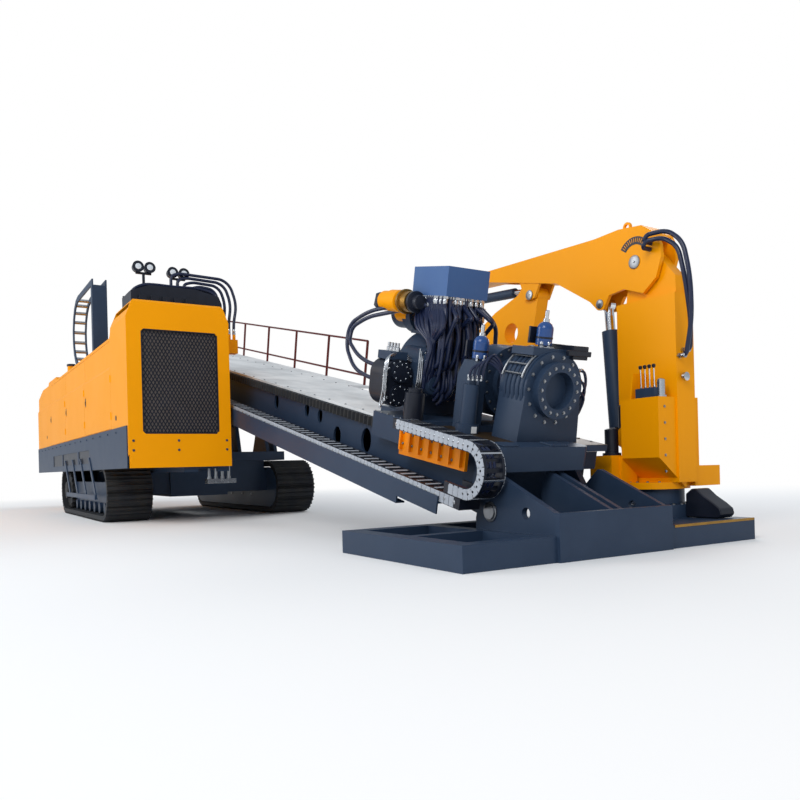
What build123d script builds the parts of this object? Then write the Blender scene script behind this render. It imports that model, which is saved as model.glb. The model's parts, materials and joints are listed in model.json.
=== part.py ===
"""Crawler-mounted horizontal directional drill with a tilting drill frame and a pipe crane.

Lengths are in millimetres. Machine coordinates run forward (X) from the engine house's front
face, to the far side (Y) from the crawlers' centre line, and up (Z) from the ground.
The drill frame has its own coordinates: u forward along the frame, v as Y, w square to its deck.
"""

from build123d import *
from math import cos, pi, radians, sin, tan
import os

# Datum: the model's origin lies on the ground in the middle of the machine's box.
HOUSE_FRONT_X = 1635.0
CRAWLER_CENTRE_Y = -368.0

# Crawlers
CRAWLER_OUTER_Y = 1600.0
SHOE_WIDTH = 630.0
CRAWLER_HEIGHT = 850.0
IDLER_X = -1925.0
SPROCKET_X = -5475.0
SHOE_COUNT = 46
RIB_HEIGHT = 28.0
SHOE_GAP_DEPTH = 14.0
BELT_THICKNESS = 62.0
ROLLER_RADIUS = 85.0
ROLLER_COUNT = 7
TRACK_BEAM_WIDTH = 300.0
COVER_THICKNESS = 15.0
SPROCKET_TEETH = 16
SEAT = 0.3

# Chassis
CARBODY_BOTTOM = 330.0
CARBODY_TOP = 700.0
BEARER_TOP = 930.0
PIVOT_X = -2200.0
PIVOT_Z = 1500.0
PIVOT_PIN_RADIUS = 50.0
PIN_CLEARANCE = 0.3
EAR_THICKNESS = 55.0
EAR_GAP = 10.0

# Engine house
HOUSE_LENGTH = 9060.0
HOUSE_NEAR_Y = -1620.0
HOUSE_FAR_Y = -310.0
HOUSE_FLOOR = 930.0
HOUSE_SKIRT_BOTTOM = 765.0
BAND_TOP = 1300.0
CREASE_Z = 2110.0
HOOD_TOP = 2545.0
SHOULDER_Z = 2650.0
RAISED_TOP = 2870.0
RAISED_LENGTH = 950.0
PANEL = 40.0
SHEET = 14.0
CREASE_STEP = 22.0
DOOR_GAP = 6.0
GRILLE_NEAR_Y = -1443.0
GRILLE_FAR_Y = -468.0
GRILLE_BOTTOM = 1190.0
GRILLE_TOP = 2505.0
GRILLE_CORNER = 55.0

# Drill frame
FRAME_FOOT_X = 5000.0
FRAME_FOOT_Z = 700.0
FRAME_ANGLE = 12.72
FRAME_REAR = -13800.0
GIRDER_FRONT = -250.0
NOSE_FRONT = -125.0
GIRDER_NEAR = 160.0
GIRDER_FAR = 1330.0
GIRDER_BOTTOM = -600.0
FRONT_RISE_U = -1250.0
ANCHOR_RELIEF_U = -830.0
ANCHOR_RELIEF_W = -455.0
FRONT_BOTTOM = -430.0
DECK_BOTTOM = 60.0
DECK_TOP = 86.0
GIRDER_WALL = 25.0
RACK_PITCH = 88.0
RACK_TOOTH = 30.0
RACK_BACK = 28.0
TROUGH_NEAR = -262.0
TROUGH_FLOOR = -356.0
TROUGH_LIP = -308.0
CHAIN_NEAR = -240.0
CHAIN_WIDTH = 200.0
CHAIN_HEIGHT = 90.0
CHAIN_PITCH = 130.0
CHAIN_PLATE = 22.0
CHAIN_RUNNING_GAP = 5.0
CHAIN_TOP = 200.0
RAIL_V = 1680.0
RAIL_HEIGHT = 633.0
RAIL_FRONT = -5060.0
RAIL_POST_PITCH = 1255.0
RAIL_RADIUS = 19.0

# Drill axis, power head and vises
DRILL_V = 745.0
DRILL_W = 586.0
SLIDE_GAP = 0.3
HEAD_FRONT = -1600.0
HEAD_REAR = -2050.0
BORE_RADIUS = 155.0
SPINDLE_RADIUS = 120.0

# Anchor
ANCHOR_REAR_X = 4100.0
ANCHOR_FRONT_X = 5760.0
ANCHOR_NEAR_Y = -820.0
ANCHOR_FAR_Y = 2290.0
ANCHOR_HEIGHT = 184.0
ANCHOR_RIM = 150.0
POCKET_RIB = 100.0
POCKET_RIB_X = (ANCHOR_REAR_X + ANCHOR_FRONT_X) / 2 + 20
FRONT_PLATE_TOP = 345.0
FRONT_PLATE_FAR_Y = 1190.0
HINGE_X = 5020.0
HINGE_Z = 330.0
HINGE_PIN_RADIUS = 50.0

# Crane
CRANE_X = 5020.0
CRANE_Y = 1950.0
SLEW_TOP = 440.0
COLUMN_REAR_X = 4710.0
COLUMN_FRONT_X = 5363.0
COLUMN_WIDTH = 240.0
HEAD_WIDTH = 130.0
BOOM_PIN = (4936.0, 2519.0)
LIFT_FOOT = (4590.0, 930.0)
LIFT_EYE = (4505.0, 2218.0)
JIB_PIN = (3497.0, 2514.0)
JIB_FOOT = (2230.0, 2700.0)
JIB_EYE = (3395.0, 2600.0)
CRANE_PIN_RADIUS = 40.0
BOOM_PLATE = 40.0
JIB_BARREL_RADIUS = 55.0
JIB_ROD_RADIUS = 32.0
JIB_POCKET_HALF = JIB_BARREL_RADIUS + 6


def machine_frame():
    """Machine coordinates as a plane: X forward, Y to the far side, Z up."""
    return Plane(origin=(HOUSE_FRONT_X, CRAWLER_CENTRE_Y, 0), x_dir=(1, 0, 0), z_dir=(0, 0, 1))


def drill_frame_plane():
    """The drill frame's coordinates as a plane: u down towards the anchor, w square to the deck."""
    lean = radians(FRAME_ANGLE)
    foot = (HOUSE_FRONT_X + FRAME_FOOT_X, CRAWLER_CENTRE_Y, FRAME_FOOT_Z)
    return Plane(origin=foot, x_dir=(cos(lean), 0, -sin(lean)), z_dir=(sin(lean), 0, cos(lean)))


MACHINE = machine_frame()
MAST = drill_frame_plane()


def side_plane(frame, y):
    """Sketch plane for (x, z) outlines at a given y; it extrudes towards the near side."""
    return Plane(origin=frame.from_local_coords((0, y, 0)), x_dir=frame.x_dir, z_dir=-frame.y_dir)


def level_plane(frame, z):
    """Sketch plane for (x, y) outlines at a given height; it extrudes upwards."""
    return Plane(origin=frame.from_local_coords((0, 0, z)), x_dir=frame.x_dir, z_dir=frame.z_dir)


def cross_plane(frame, x):
    """Sketch plane for (y, z) outlines at a given x; it extrudes forwards."""
    return Plane(origin=frame.from_local_coords((x, 0, 0)), x_dir=frame.y_dir, z_dir=frame.x_dir)


def prism(plane, outline, length, mode=Mode.ADD):
    """Extrude a straight-sided outline and join it to the part being built."""
    with BuildSketch(plane) as face:
        with BuildLine():
            Polyline(*outline, close=True)
        make_face()
    extrude(face.sketch, amount=length, mode=mode)


def across(frame, near, far, outline, mode=Mode.ADD):
    """Prism of an (x, z) outline between two y values."""
    prism(side_plane(frame, far), outline, far - near, mode)


def upward(frame, low, high, outline, mode=Mode.ADD):
    """Prism of an (x, y) outline between two heights."""
    prism(level_plane(frame, low), outline, high - low, mode)


def along(frame, rear, front, outline, mode=Mode.ADD):
    """Prism of a (y, z) outline between two x values."""
    prism(cross_plane(frame, rear), outline, front - rear, mode)


def block(frame, x, y, z, mode=Mode.ADD):
    """Box between the limits x, y and z, each a (low, high) pair."""
    middle = (sum(x) / 2, sum(y) / 2, sum(z) / 2)
    with Locations(frame.location * Location(middle)):
        Box(x[1] - x[0], y[1] - y[0], z[1] - z[0], mode=mode)


def disc(plane, centre, radius, length, mode=Mode.ADD):
    """Cylinder on a plane, with its centre in the plane's coordinates."""
    with BuildSketch(plane) as face:
        with Locations(centre):
            Circle(radius)
    extrude(face.sketch, amount=length, mode=mode)


def pin(frame, near, far, centre, radius, mode=Mode.ADD):
    """Cylinder across the frame, between two y values, centred at (x, z)."""
    disc(side_plane(frame, far), centre, radius, far - near, mode)


def shaft(frame, rear, front, centre, radius, mode=Mode.ADD):
    """Cylinder along the frame, between two x values, centred at (y, z)."""
    disc(cross_plane(frame, rear), centre, radius, front - rear, mode)


def post(frame, low, high, centre, radius, mode=Mode.ADD):
    """Upright cylinder between two heights, centred at (x, y)."""
    disc(level_plane(frame, low), centre, radius, high - low, mode)


def tube_between(frame, y, start, end, radius, mode=Mode.ADD):
    """Cylinder in a side plane, from one (x, z) point to another."""
    a = frame.from_local_coords((start[0], y, start[1]))
    b = frame.from_local_coords((end[0], y, end[1]))
    disc(Plane(origin=a, z_dir=b - a), (0, 0), radius, (b - a).length, mode)


def bend_radii(points):
    """Radius of each corner of a hose route: as large as its two runs allow."""
    radii = []
    for before, corner, after in zip(points, points[1:], points[2:]):
        first, second = corner - before, after - corner
        half_turn = radians(first.get_angle(second)) / 2
        radii.append(0.45 * min(first.length, second.length) / tan(half_turn))
    return radii


def hose(frame, route, radius):
    """Round hose along straight runs joined by tangent arcs."""
    points = [frame.from_local_coords(point) for point in route]
    with BuildLine() as path:
        FilletPolyline(*points, radius=bend_radii(points))
    with BuildSketch(Plane(origin=points[0], z_dir=points[1] - points[0])) as bore:
        Circle(radius)
    sweep(bore.sketch, path=path.line)


def stadium_point(distance, radius):
    """Point at a distance round the crawler's oval, drawn at a given radius, with its (x, z)."""
    straight = IDLER_X - SPROCKET_X
    belt_radius = CRAWLER_HEIGHT / 2 - RIB_HEIGHT
    half_round = pi * belt_radius
    centre_z = CRAWLER_HEIGHT / 2
    distance %= 2 * (straight + half_round)
    if distance < straight:
        return (SPROCKET_X + distance, centre_z + radius)
    distance -= straight
    if distance < half_round:
        turn = pi / 2 - distance / belt_radius
        return (IDLER_X + radius * cos(turn), centre_z + radius * sin(turn))
    distance -= half_round
    if distance < straight:
        return (IDLER_X - distance, centre_z - radius)
    distance -= straight
    turn = -pi / 2 - distance / belt_radius
    return (SPROCKET_X + radius * cos(turn), centre_z + radius * sin(turn))


# One shoe of the belt: share of the pitch, height over the plate's outer face.
SHOE_PROFILE = (
    (0.00, -SHOE_GAP_DEPTH),
    (0.05, 0.0),
    (0.13, RIB_HEIGHT),
    (0.21, 0.0),
    (0.42, 0.0),
    (0.50, RIB_HEIGHT),
    (0.58, 0.0),
    (0.79, 0.0),
    (0.87, RIB_HEIGHT),
    (0.95, 0.0),
)

BELT_RADIUS = CRAWLER_HEIGHT / 2 - RIB_HEIGHT
BELT_INNER = BELT_RADIUS - BELT_THICKNESS
BELT_LENGTH = 2 * (IDLER_X - SPROCKET_X) + 2 * pi * BELT_RADIUS
SHOE_PITCH = BELT_LENGTH / SHOE_COUNT
CRAWLER_INNER_Y = CRAWLER_OUTER_Y - SHOE_WIDTH


def oval(radius):
    """Sketch the crawler's oval: two half rounds joined by straights, at a given radius."""
    with Locations(((IDLER_X + SPROCKET_X) / 2, CRAWLER_HEIGHT / 2)):
        SlotCenterToCenter(IDLER_X - SPROCKET_X, 2 * radius)


def crawler_belt(side):
    """Belt of shoes round one crawler; side is -1 for the near one and 1 for the far one."""
    outline = [
        stadium_point((shoe + share) * SHOE_PITCH, BELT_RADIUS + height)
        for shoe in range(SHOE_COUNT)
        for share, height in SHOE_PROFILE
    ]
    far = max(side * CRAWLER_INNER_Y, side * CRAWLER_OUTER_Y)
    with BuildPart() as belt:
        with BuildSketch(side_plane(MACHINE, far)):
            with BuildLine():
                Polyline(*outline, close=True)
            make_face()
            with BuildSketch(mode=Mode.PRIVATE) as inner:
                oval(BELT_INNER)
            add(inner.sketch, mode=Mode.SUBTRACT)
        extrude(amount=SHOE_WIDTH)
    return belt


# Track beams with their front idlers, bottom rollers and inner cover plates.
with BuildPart() as crawler_frames:
    roller_z = CRAWLER_HEIGHT / 2 - BELT_INNER + ROLLER_RADIUS + SEAT
    beam_low = roller_z
    beam_high = CRAWLER_HEIGHT / 2 + 150
    roller_step = (IDLER_X - SPROCKET_X - 1000) / (ROLLER_COUNT - 1)
    for side in (-1, 1):
        near, far = sorted((side * CRAWLER_INNER_Y, side * CRAWLER_OUTER_Y))
        middle = (near + far) / 2
        cover_near = near if side > 0 else far - COVER_THICKNESS
        block(
            MACHINE,
            (SPROCKET_X + 60, IDLER_X),
            (middle - TRACK_BEAM_WIDTH / 2, middle + TRACK_BEAM_WIDTH / 2),
            (beam_low, beam_high),
        )
        pin(MACHINE, middle - 95, middle + 95, (IDLER_X, CRAWLER_HEIGHT / 2), BELT_INNER - SEAT)
        for index in range(ROLLER_COUNT):
            roller_x = SPROCKET_X + 500 + index * roller_step
            pin(MACHINE, middle - 190, middle + 190, (roller_x, roller_z), ROLLER_RADIUS)
        with BuildSketch(side_plane(MACHINE, cover_near + COVER_THICKNESS)) as cover:
            oval(BELT_INNER - 12)
        extrude(cover.sketch, amount=COVER_THICKNESS)
        cover_inner = sorted((cover_near + COVER_THICKNESS / 2, middle))
        block(MACHINE, (SPROCKET_X + 400, IDLER_X - 200), cover_inner, (beam_low + 60, beam_high - 60))
        pin(
            MACHINE,
            middle - 170,
            middle + 170,
            (SPROCKET_X, CRAWLER_HEIGHT / 2),
            BELT_INNER * 0.45,
            Mode.SUBTRACT,
        )


def drive_sprocket(side):
    """Toothed drive wheel at a crawler's rear, with its final drive hub."""
    near, far = sorted((side * CRAWLER_INNER_Y, side * CRAWLER_OUTER_Y))
    middle = (near + far) / 2
    tip = BELT_INNER - SEAT
    root = tip - 55
    hub_radius = BELT_INNER * 0.45 - PIN_CLEARANCE
    centre_z = CRAWLER_HEIGHT / 2
    step = 2 * pi / SPROCKET_TEETH
    outline = []
    for tooth in range(SPROCKET_TEETH):
        for share, radius in ((-0.36, root), (-0.14, tip), (0.14, tip), (0.36, root)):
            turn = (tooth + share) * step
            outline.append((SPROCKET_X + radius * cos(turn), centre_z + radius * sin(turn)))
    outer = middle + side * 170
    with BuildPart() as sprocket:
        across(MACHINE, *sorted((outer, outer + side * 60)), outline)
        pin(MACHINE, *sorted((middle - side * 20, outer)), (SPROCKET_X, centre_z), hub_radius)
        pin(MACHINE, *sorted((outer + side * 60, outer + side * 120)), (SPROCKET_X, centre_z), hub_radius)
    return sprocket


belt_near = crawler_belt(-1)
belt_far = crawler_belt(1)
sprocket_near = drive_sprocket(-1)
sprocket_far = drive_sprocket(1)

# Drill frame lugs over the chassis, set by the frame's own coordinates.
LUG_NEAR_V = 440.0
LUG_FAR_V = 1050.0
LUG_WIDTH = 60.0


def to_mast(x, z):
    """Machine (x, z) point in the drill frame's (u, w)."""
    point = MAST.to_local_coords(MACHINE.from_local_coords((x, 0, z)))
    return (point.X, point.Z)


LIFT_X = -4350.0
LIFT_FOOT_Z = 620.0
LIFT_LUG = (-4300.0, 2095.0)
LIFT_V = (440.0, 830.0)
LIFT_BARREL_RADIUS = 85.0
LIFT_ROD_RADIUS = 50.0
LIFT_EYE_PIN_RADIUS = 30.0
LIFT_PIN_RADIUS = 40.0
LIFT_ROD_REACH = 865.0

# Chassis: centre box, cross-members to the crawlers, bearers under the house, pivot pedestals.
with BuildPart() as chassis_frame:
    upward(
        MACHINE,
        CARBODY_BOTTOM,
        CARBODY_TOP,
        [(-5300, -600), (-1950, -600), (-1950, 290), (-5300, 290)],
    )
    for rear, front, top in ((-5250, -4800, 700), (-2600, -2000, 700), (-4560, -4140, 500)):
        block(MACHINE, (rear, front), (290, CRAWLER_INNER_Y), (CARBODY_BOTTOM + 40, top))
    for rear, front in ((-5250, -4800), (-2600, -2000)):
        block(MACHINE, (rear, front), (-CRAWLER_INNER_Y, -600), (CARBODY_BOTTOM + 40, CARBODY_TOP))
    for near, far in ((-930, -740), (-470, -330)):
        block(MACHINE, (80 - HOUSE_LENGTH, -60), (near, far), (CARBODY_TOP, BEARER_TOP))
    for rear in (-8900, -6900, -5200, -2400, -260):
        block(MACHINE, (rear, rear + 160), (-740, -470), (CARBODY_TOP + 40, BEARER_TOP))
    block(MACHINE, (-2600, -1900), (HOUSE_FAR_Y + 10, 1250), (CARBODY_TOP + 160, 1000))
    block(MACHINE, (-2600, -2000), (290, CRAWLER_INNER_Y - 40), (CARBODY_TOP, CARBODY_TOP + 160))
    block(MACHINE, (-2600, -2000), (-330, 290), (CARBODY_TOP, CARBODY_TOP + 160))
    for lug_v in (LUG_NEAR_V, LUG_FAR_V):
        for turn in (-1, 1):
            inner = lug_v + turn * (LUG_WIDTH / 2 + EAR_GAP)
            near, far = sorted((inner, inner + turn * EAR_THICKNESS))
            ear = [(-2560, 1000), (-1940, 1000), (-2085, PIVOT_Z), (-2315, PIVOT_Z)]
            across(MACHINE, near, far, ear)
            pin(MACHINE, near, far, (PIVOT_X, PIVOT_Z), 115)
        pin(
            MACHINE,
            lug_v - LUG_WIDTH / 2 - EAR_GAP,
            lug_v + LUG_WIDTH / 2 + EAR_GAP,
            (PIVOT_X, PIVOT_Z),
            PIVOT_PIN_RADIUS,
        )
    for lift_v in LIFT_V:
        for turn in (-1, 1):
            near, far = sorted((lift_v + turn * 45, lift_v + turn * 85))
            foot = [(-4520, 500), (-4180, 500), (-4270, 690), (-4430, 690)]
            across(MACHINE, near, far, foot)
        pin(MACHINE, lift_v - 45, lift_v + 45, (LIFT_X, LIFT_FOOT_Z), LIFT_PIN_RADIUS)


def cylinder_barrel(frame, centres, foot, eye, radius, rod_radius, share, pin_radius, width):
    """Barrels of side-by-side hydraulic cylinders, from the foot pin part of the way to the eye."""
    start, end = Vector(foot[0], foot[1]), Vector(eye[0], eye[1])
    run = (end - start).normalized()
    near_end = start + run * (pin_radius * 2.2)
    far_end = start + run * ((end - start).length * share)
    bore_start = near_end + run * (radius * 0.5)
    with BuildPart() as barrel:
        for centre in centres:
            tube_between(frame, centre, (near_end.X, near_end.Y), (far_end.X, far_end.Y), radius)
            pin(frame, centre - width / 2, centre + width / 2, foot, pin_radius * 1.9)
            tube_between(frame, centre, foot, (near_end.X, near_end.Y), width * 0.45)
            pin(frame, centre - width, centre + width, foot, pin_radius + PIN_CLEARANCE, Mode.SUBTRACT)
            tube_between(
                frame,
                centre,
                (bore_start.X, bore_start.Y),
                (far_end.X, far_end.Y),
                rod_radius + PIN_CLEARANCE,
                Mode.SUBTRACT,
            )
    return barrel


def cylinder_rod(frame, centres, foot, eye, radius, reach, pin_radius, width):
    """Rods of side-by-side hydraulic cylinders, from inside the barrel to the eye."""
    start, end = Vector(foot[0], foot[1]), Vector(eye[0], eye[1])
    run = (end - start).normalized()
    inner = end - run * reach
    with BuildPart() as rod:
        for centre in centres:
            tube_between(frame, centre, (inner.X, inner.Y), eye, radius)
            pin(frame, centre - width / 2, centre + width / 2, eye, pin_radius * 1.9)
            pin(frame, centre - width, centre + width, eye, pin_radius + 1.5, Mode.SUBTRACT)
    return rod


frame_lift_barrels = cylinder_barrel(
    MACHINE,
    LIFT_V,
    (LIFT_X, LIFT_FOOT_Z),
    LIFT_LUG,
    LIFT_BARREL_RADIUS,
    LIFT_ROD_RADIUS,
    0.56,
    LIFT_PIN_RADIUS,
    60,
)
frame_lift_rods = cylinder_rod(
    MACHINE, LIFT_V, (LIFT_X, LIFT_FOOT_Z), LIFT_LUG, LIFT_ROD_RADIUS, LIFT_ROD_REACH, LIFT_PIN_RADIUS, 60
)

# Engine house shell: floor, walls and roof with the raised front section, open at its doors.
HOUSE_REAR_X = -HOUSE_LENGTH
ROOF_STEP_X = -8300.0
REAR_TOP = 2400.0
DOOR_EDGES = ((-3060.0, -1010.0), (-5060.0, -3080.0), (-7060.0, -5080.0))
DOOR_BOTTOM = BAND_TOP + DOOR_GAP
KNUCKLE_HEIGHTS = (1430.0, 1930.0)
KNUCKLE_LENGTH = 50.0
KNUCKLE_RADIUS = 13.0
KNUCKLE_FIT = KNUCKLE_RADIUS + SEAT
DOOR_TOP = HOOD_TOP - PANEL - DOOR_GAP

SIDE_OUTLINE = [
    (0, HOUSE_FLOOR),
    (0, RAISED_TOP - 30),
    (-30, RAISED_TOP),
    (-RAISED_LENGTH + 60, RAISED_TOP),
    (-RAISED_LENGTH, HOOD_TOP + 60),
    (-RAISED_LENGTH - 40, HOOD_TOP),
    (ROOF_STEP_X, HOOD_TOP),
    (HOUSE_REAR_X, REAR_TOP),
    (HOUSE_REAR_X, HOUSE_FLOOR),
]
INNER_OUTLINE = [
    (-PANEL, HOUSE_FLOOR + SHEET),
    (-PANEL, RAISED_TOP - PANEL),
    (-RAISED_LENGTH + 60, RAISED_TOP - PANEL),
    (-RAISED_LENGTH + 20, HOOD_TOP - PANEL),
    (ROOF_STEP_X, HOOD_TOP - PANEL),
    (HOUSE_REAR_X + PANEL, REAR_TOP - PANEL),
    (HOUSE_REAR_X + PANEL, HOUSE_FLOOR + SHEET),
]

with BuildPart() as engine_house:
    across(MACHINE, HOUSE_NEAR_Y, HOUSE_FAR_Y, SIDE_OUTLINE)
    across(MACHINE, HOUSE_NEAR_Y + PANEL, HOUSE_FAR_Y - PANEL, INNER_OUTLINE, Mode.SUBTRACT)
    block(MACHINE, (-PANEL, 0), (HOUSE_NEAR_Y + SHEET, HOUSE_FAR_Y), (HOUSE_SKIRT_BOTTOM, HOUSE_FLOOR))
    for rear, front in DOOR_EDGES:
        block(
            MACHINE,
            (rear, front),
            (HOUSE_NEAR_Y - 1, HOUSE_NEAR_Y + PANEL + 1),
            (BAND_TOP, HOOD_TOP - PANEL),
            Mode.SUBTRACT,
        )
        for low in KNUCKLE_HEIGHTS:
            axis = (front - DOOR_GAP, HOUSE_NEAR_Y)
            post(MACHINE, low, low + KNUCKLE_LENGTH, axis, KNUCKLE_RADIUS)
            middle = low + KNUCKLE_LENGTH
            post(MACHINE, middle, middle + KNUCKLE_LENGTH + 2 * SEAT, axis, KNUCKLE_FIT, Mode.SUBTRACT)
    crease = [
        (HOUSE_NEAR_Y - 1, CREASE_Z),
        (HOUSE_NEAR_Y, CREASE_Z),
        (HOUSE_NEAR_Y + CREASE_STEP, CREASE_Z + 45),
        (HOUSE_NEAR_Y + CREASE_STEP, RAISED_TOP),
        (HOUSE_NEAR_Y - 1, RAISED_TOP),
    ]
    along(MACHINE, -HOUSE_LENGTH - 1, -RAISED_LENGTH - 60, crease, Mode.SUBTRACT)
    with BuildSketch(cross_plane(MACHINE, -PANEL - 1)) as grille_opening:
        with Locations(((GRILLE_NEAR_Y + GRILLE_FAR_Y) / 2, (GRILLE_BOTTOM + GRILLE_TOP) / 2)):
            RectangleRounded(GRILLE_FAR_Y - GRILLE_NEAR_Y, GRILLE_TOP - GRILLE_BOTTOM, GRILLE_CORNER)
    extrude(grille_opening.sketch, amount=PANEL + 2, mode=Mode.SUBTRACT)
    for turn, y in ((1, HOUSE_NEAR_Y), (-1, HOUSE_FAR_Y)):
        inset = 75
        cut = [(y, SHOULDER_Z), (y + turn * inset, RAISED_TOP - 25), (y + turn * (inset + 25), RAISED_TOP + 1),
               (y, RAISED_TOP + 1)]
        along(MACHINE, -RAISED_LENGTH - 100, 1, cut, Mode.SUBTRACT)

    across(
        MACHINE,
        -1500,
        -950,
        [(-8250, HOOD_TOP), (-8120, HOOD_TOP + 150), (-7000, HOOD_TOP + 150), (-6800, HOOD_TOP)],
    )
    post(MACHINE, HOOD_TOP, HOOD_TOP + 210, (-5700, -1400), 70)
    block(MACHINE, (-560, -430), (HOUSE_FAR_Y, -30), (2330, 2520))
    for step in range(4):
        post(MACHINE, 2520, 2600, (-495, -270 + step * 70), 22)

# Dark lower band: the near side's frame plate with its three openings and the rear plate.
BAND_OPENINGS = ((-6620.0, -5480.0), (-5400.0, -3760.0), (-3640.0, -2640.0))
with BuildPart() as lower_band:
    block(
        MACHINE,
        (HOUSE_REAR_X, -PANEL),
        (HOUSE_NEAR_Y - SHEET, HOUSE_NEAR_Y),
        (HOUSE_SKIRT_BOTTOM, BAND_TOP - DOOR_GAP),
    )
    for rear, front in BAND_OPENINGS:
        block(
            MACHINE,
            (rear, front),
            (HOUSE_NEAR_Y - SHEET - 1, HOUSE_NEAR_Y + 1),
            (868, 1074),
            Mode.SUBTRACT,
        )
    for rear, front in ((-8900, -8500), (-1200, -900)):
        block(MACHINE, (rear, front), (HOUSE_NEAR_Y, -940), (HOUSE_SKIRT_BOTTOM + 90, HOUSE_FLOOR))
    for bracket_x in (-5100, -4300, -3500, -2700):
        across(
            MACHINE,
            HOUSE_NEAR_Y - SHEET - 16,
            HOUSE_NEAR_Y - SHEET,
            [(bracket_x, 960), (bracket_x + 90, 960), (bracket_x + 640, 330), (bracket_x + 520, 330)],
        )
    block(MACHINE, (-4700, -2000), (HOUSE_NEAR_Y - SHEET - 50, HOUSE_NEAR_Y - SHEET - 16), (330, 400))

# Radiator grille: a mesh of diamond openings in a rounded frame.
MESH_PITCH_Y = 122.0
MESH_PITCH_Z = 104.0
MESH_BAR = 14.0
with BuildPart() as radiator_grille:
    grille_y = (GRILLE_NEAR_Y + GRILLE_FAR_Y) / 2
    grille_z = (GRILLE_BOTTOM + GRILLE_TOP) / 2
    grille_width = GRILLE_FAR_Y - GRILLE_NEAR_Y + 60
    grille_height = GRILLE_TOP - GRILLE_BOTTOM + 60
    with BuildSketch(cross_plane(MACHINE, -PANEL - 12)) as mesh:
        with Locations((grille_y, grille_z)):
            Rectangle(grille_width, grille_height)
            for row_shift in (0, 0.5):
                with Locations((row_shift * MESH_PITCH_Y, row_shift * MESH_PITCH_Z)):
                    with GridLocations(MESH_PITCH_Y, MESH_PITCH_Z, 7, 12):
                        Rectangle(
                            MESH_PITCH_Y / 2 ** 0.5 - MESH_BAR,
                            MESH_PITCH_Z / 2 ** 0.5 - MESH_BAR,
                            rotation=45,
                            mode=Mode.SUBTRACT,
                        )
    extrude(mesh.sketch, amount=12)
    block(MACHINE, (-420, -PANEL - 12), (-1470, -440), (HOUSE_FLOOR + SHEET, GRILLE_TOP + 30))

with BuildPart() as engine:
    block(MACHINE, (-4900, -2700), (-1400, -520), (HOUSE_FLOOR + SHEET, 2050))


def side_door(rear, front):
    """One near-side door of the engine house, with the crease and its latch recess."""
    low, high = DOOR_BOTTOM, DOOR_TOP
    section = [
        (HOUSE_NEAR_Y, low),
        (HOUSE_NEAR_Y, CREASE_Z),
        (HOUSE_NEAR_Y + CREASE_STEP, CREASE_Z + 45),
        (HOUSE_NEAR_Y + CREASE_STEP, high),
        (HOUSE_NEAR_Y + PANEL, high),
        (HOUSE_NEAR_Y + PANEL, low),
    ]
    with BuildPart() as door:
        along(MACHINE, rear + DOOR_GAP, front - DOOR_GAP, section)
        for height in KNUCKLE_HEIGHTS:
            axis = (front - DOOR_GAP, HOUSE_NEAR_Y)
            middle = height + KNUCKLE_LENGTH + SEAT
            post(MACHINE, height - SEAT, middle, axis, KNUCKLE_FIT, Mode.SUBTRACT)
            post(MACHINE, middle, middle + KNUCKLE_LENGTH, axis, KNUCKLE_RADIUS)
        latch_x = rear + 120
        block(
            MACHINE,
            (latch_x - 30, latch_x + 30),
            (HOUSE_NEAR_Y - 1, HOUSE_NEAR_Y + 12),
            (1745, 1900),
            Mode.SUBTRACT,
        )
    return door


door_front = side_door(*DOOR_EDGES[0])
door_middle = side_door(*DOOR_EDGES[1])
door_rear = side_door(*DOOR_EDGES[2])

# Hose gantry on the raised section, its hoses, twin lamps and the long drag chain behind it.
with BuildPart() as hose_gantry:
    along(
        MACHINE,
        -820,
        -300,
        [(-1480, RAISED_TOP), (-1480, 3040), (-1250, 3130), (-650, 3130), (-330, 3060), (-290, 2960),
         (-290, RAISED_TOP)],
    )
    for y in (-1460, -1330):
        block(MACHINE, (-885, -855), (y, y + 30), (RAISED_TOP, 3080))
    block(MACHINE, (-885, -820), (-1460, -1300), (3000, 3040))

    for lamp_y, lamp_top in ((-1250, 3330), (-800, 3300)):
        block(MACHINE, (-600, -570), (lamp_y - 15, lamp_y + 15), (3130, lamp_top))
        block(MACHINE, (-600, -570), (lamp_y - 100, lamp_y + 100), (lamp_top, lamp_top + 26))
        for turn in (-1, 1):
            with BuildSketch(cross_plane(MACHINE, -640)) as lamp_can:
                with Locations((lamp_y + turn * 75, lamp_top + 26 + 62)):
                    Circle(62)
            extrude(lamp_can.sketch, amount=110, taper=-6)

LOOP_NEAR_Y = -1420.0
LOOP_WIDTH = 230.0
LOOP_CENTRE = (-4700.0, 3230.0)
LOOP_RADIUS = 640.0


def chain_outline(centre, outer, inner, upper_end, lower_end, steps):
    """Outline of a drag chain bent by half a turn about centre; the ends give each run's x."""
    cx, cz = centre
    turn_points = [pi / 2 + pi * step / steps for step in range(steps + 1)]
    outside = [(cx + outer * cos(a), cz + outer * sin(a)) for a in turn_points]
    inside = [(cx + inner * cos(a), cz + inner * sin(a)) for a in reversed(turn_points)]
    return (
        [(upper_end, cz + outer)] + outside + [(lower_end, cz - outer)]
        + [(lower_end, cz - inner)] + inside + [(upper_end, cz + inner)]
    )


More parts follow.
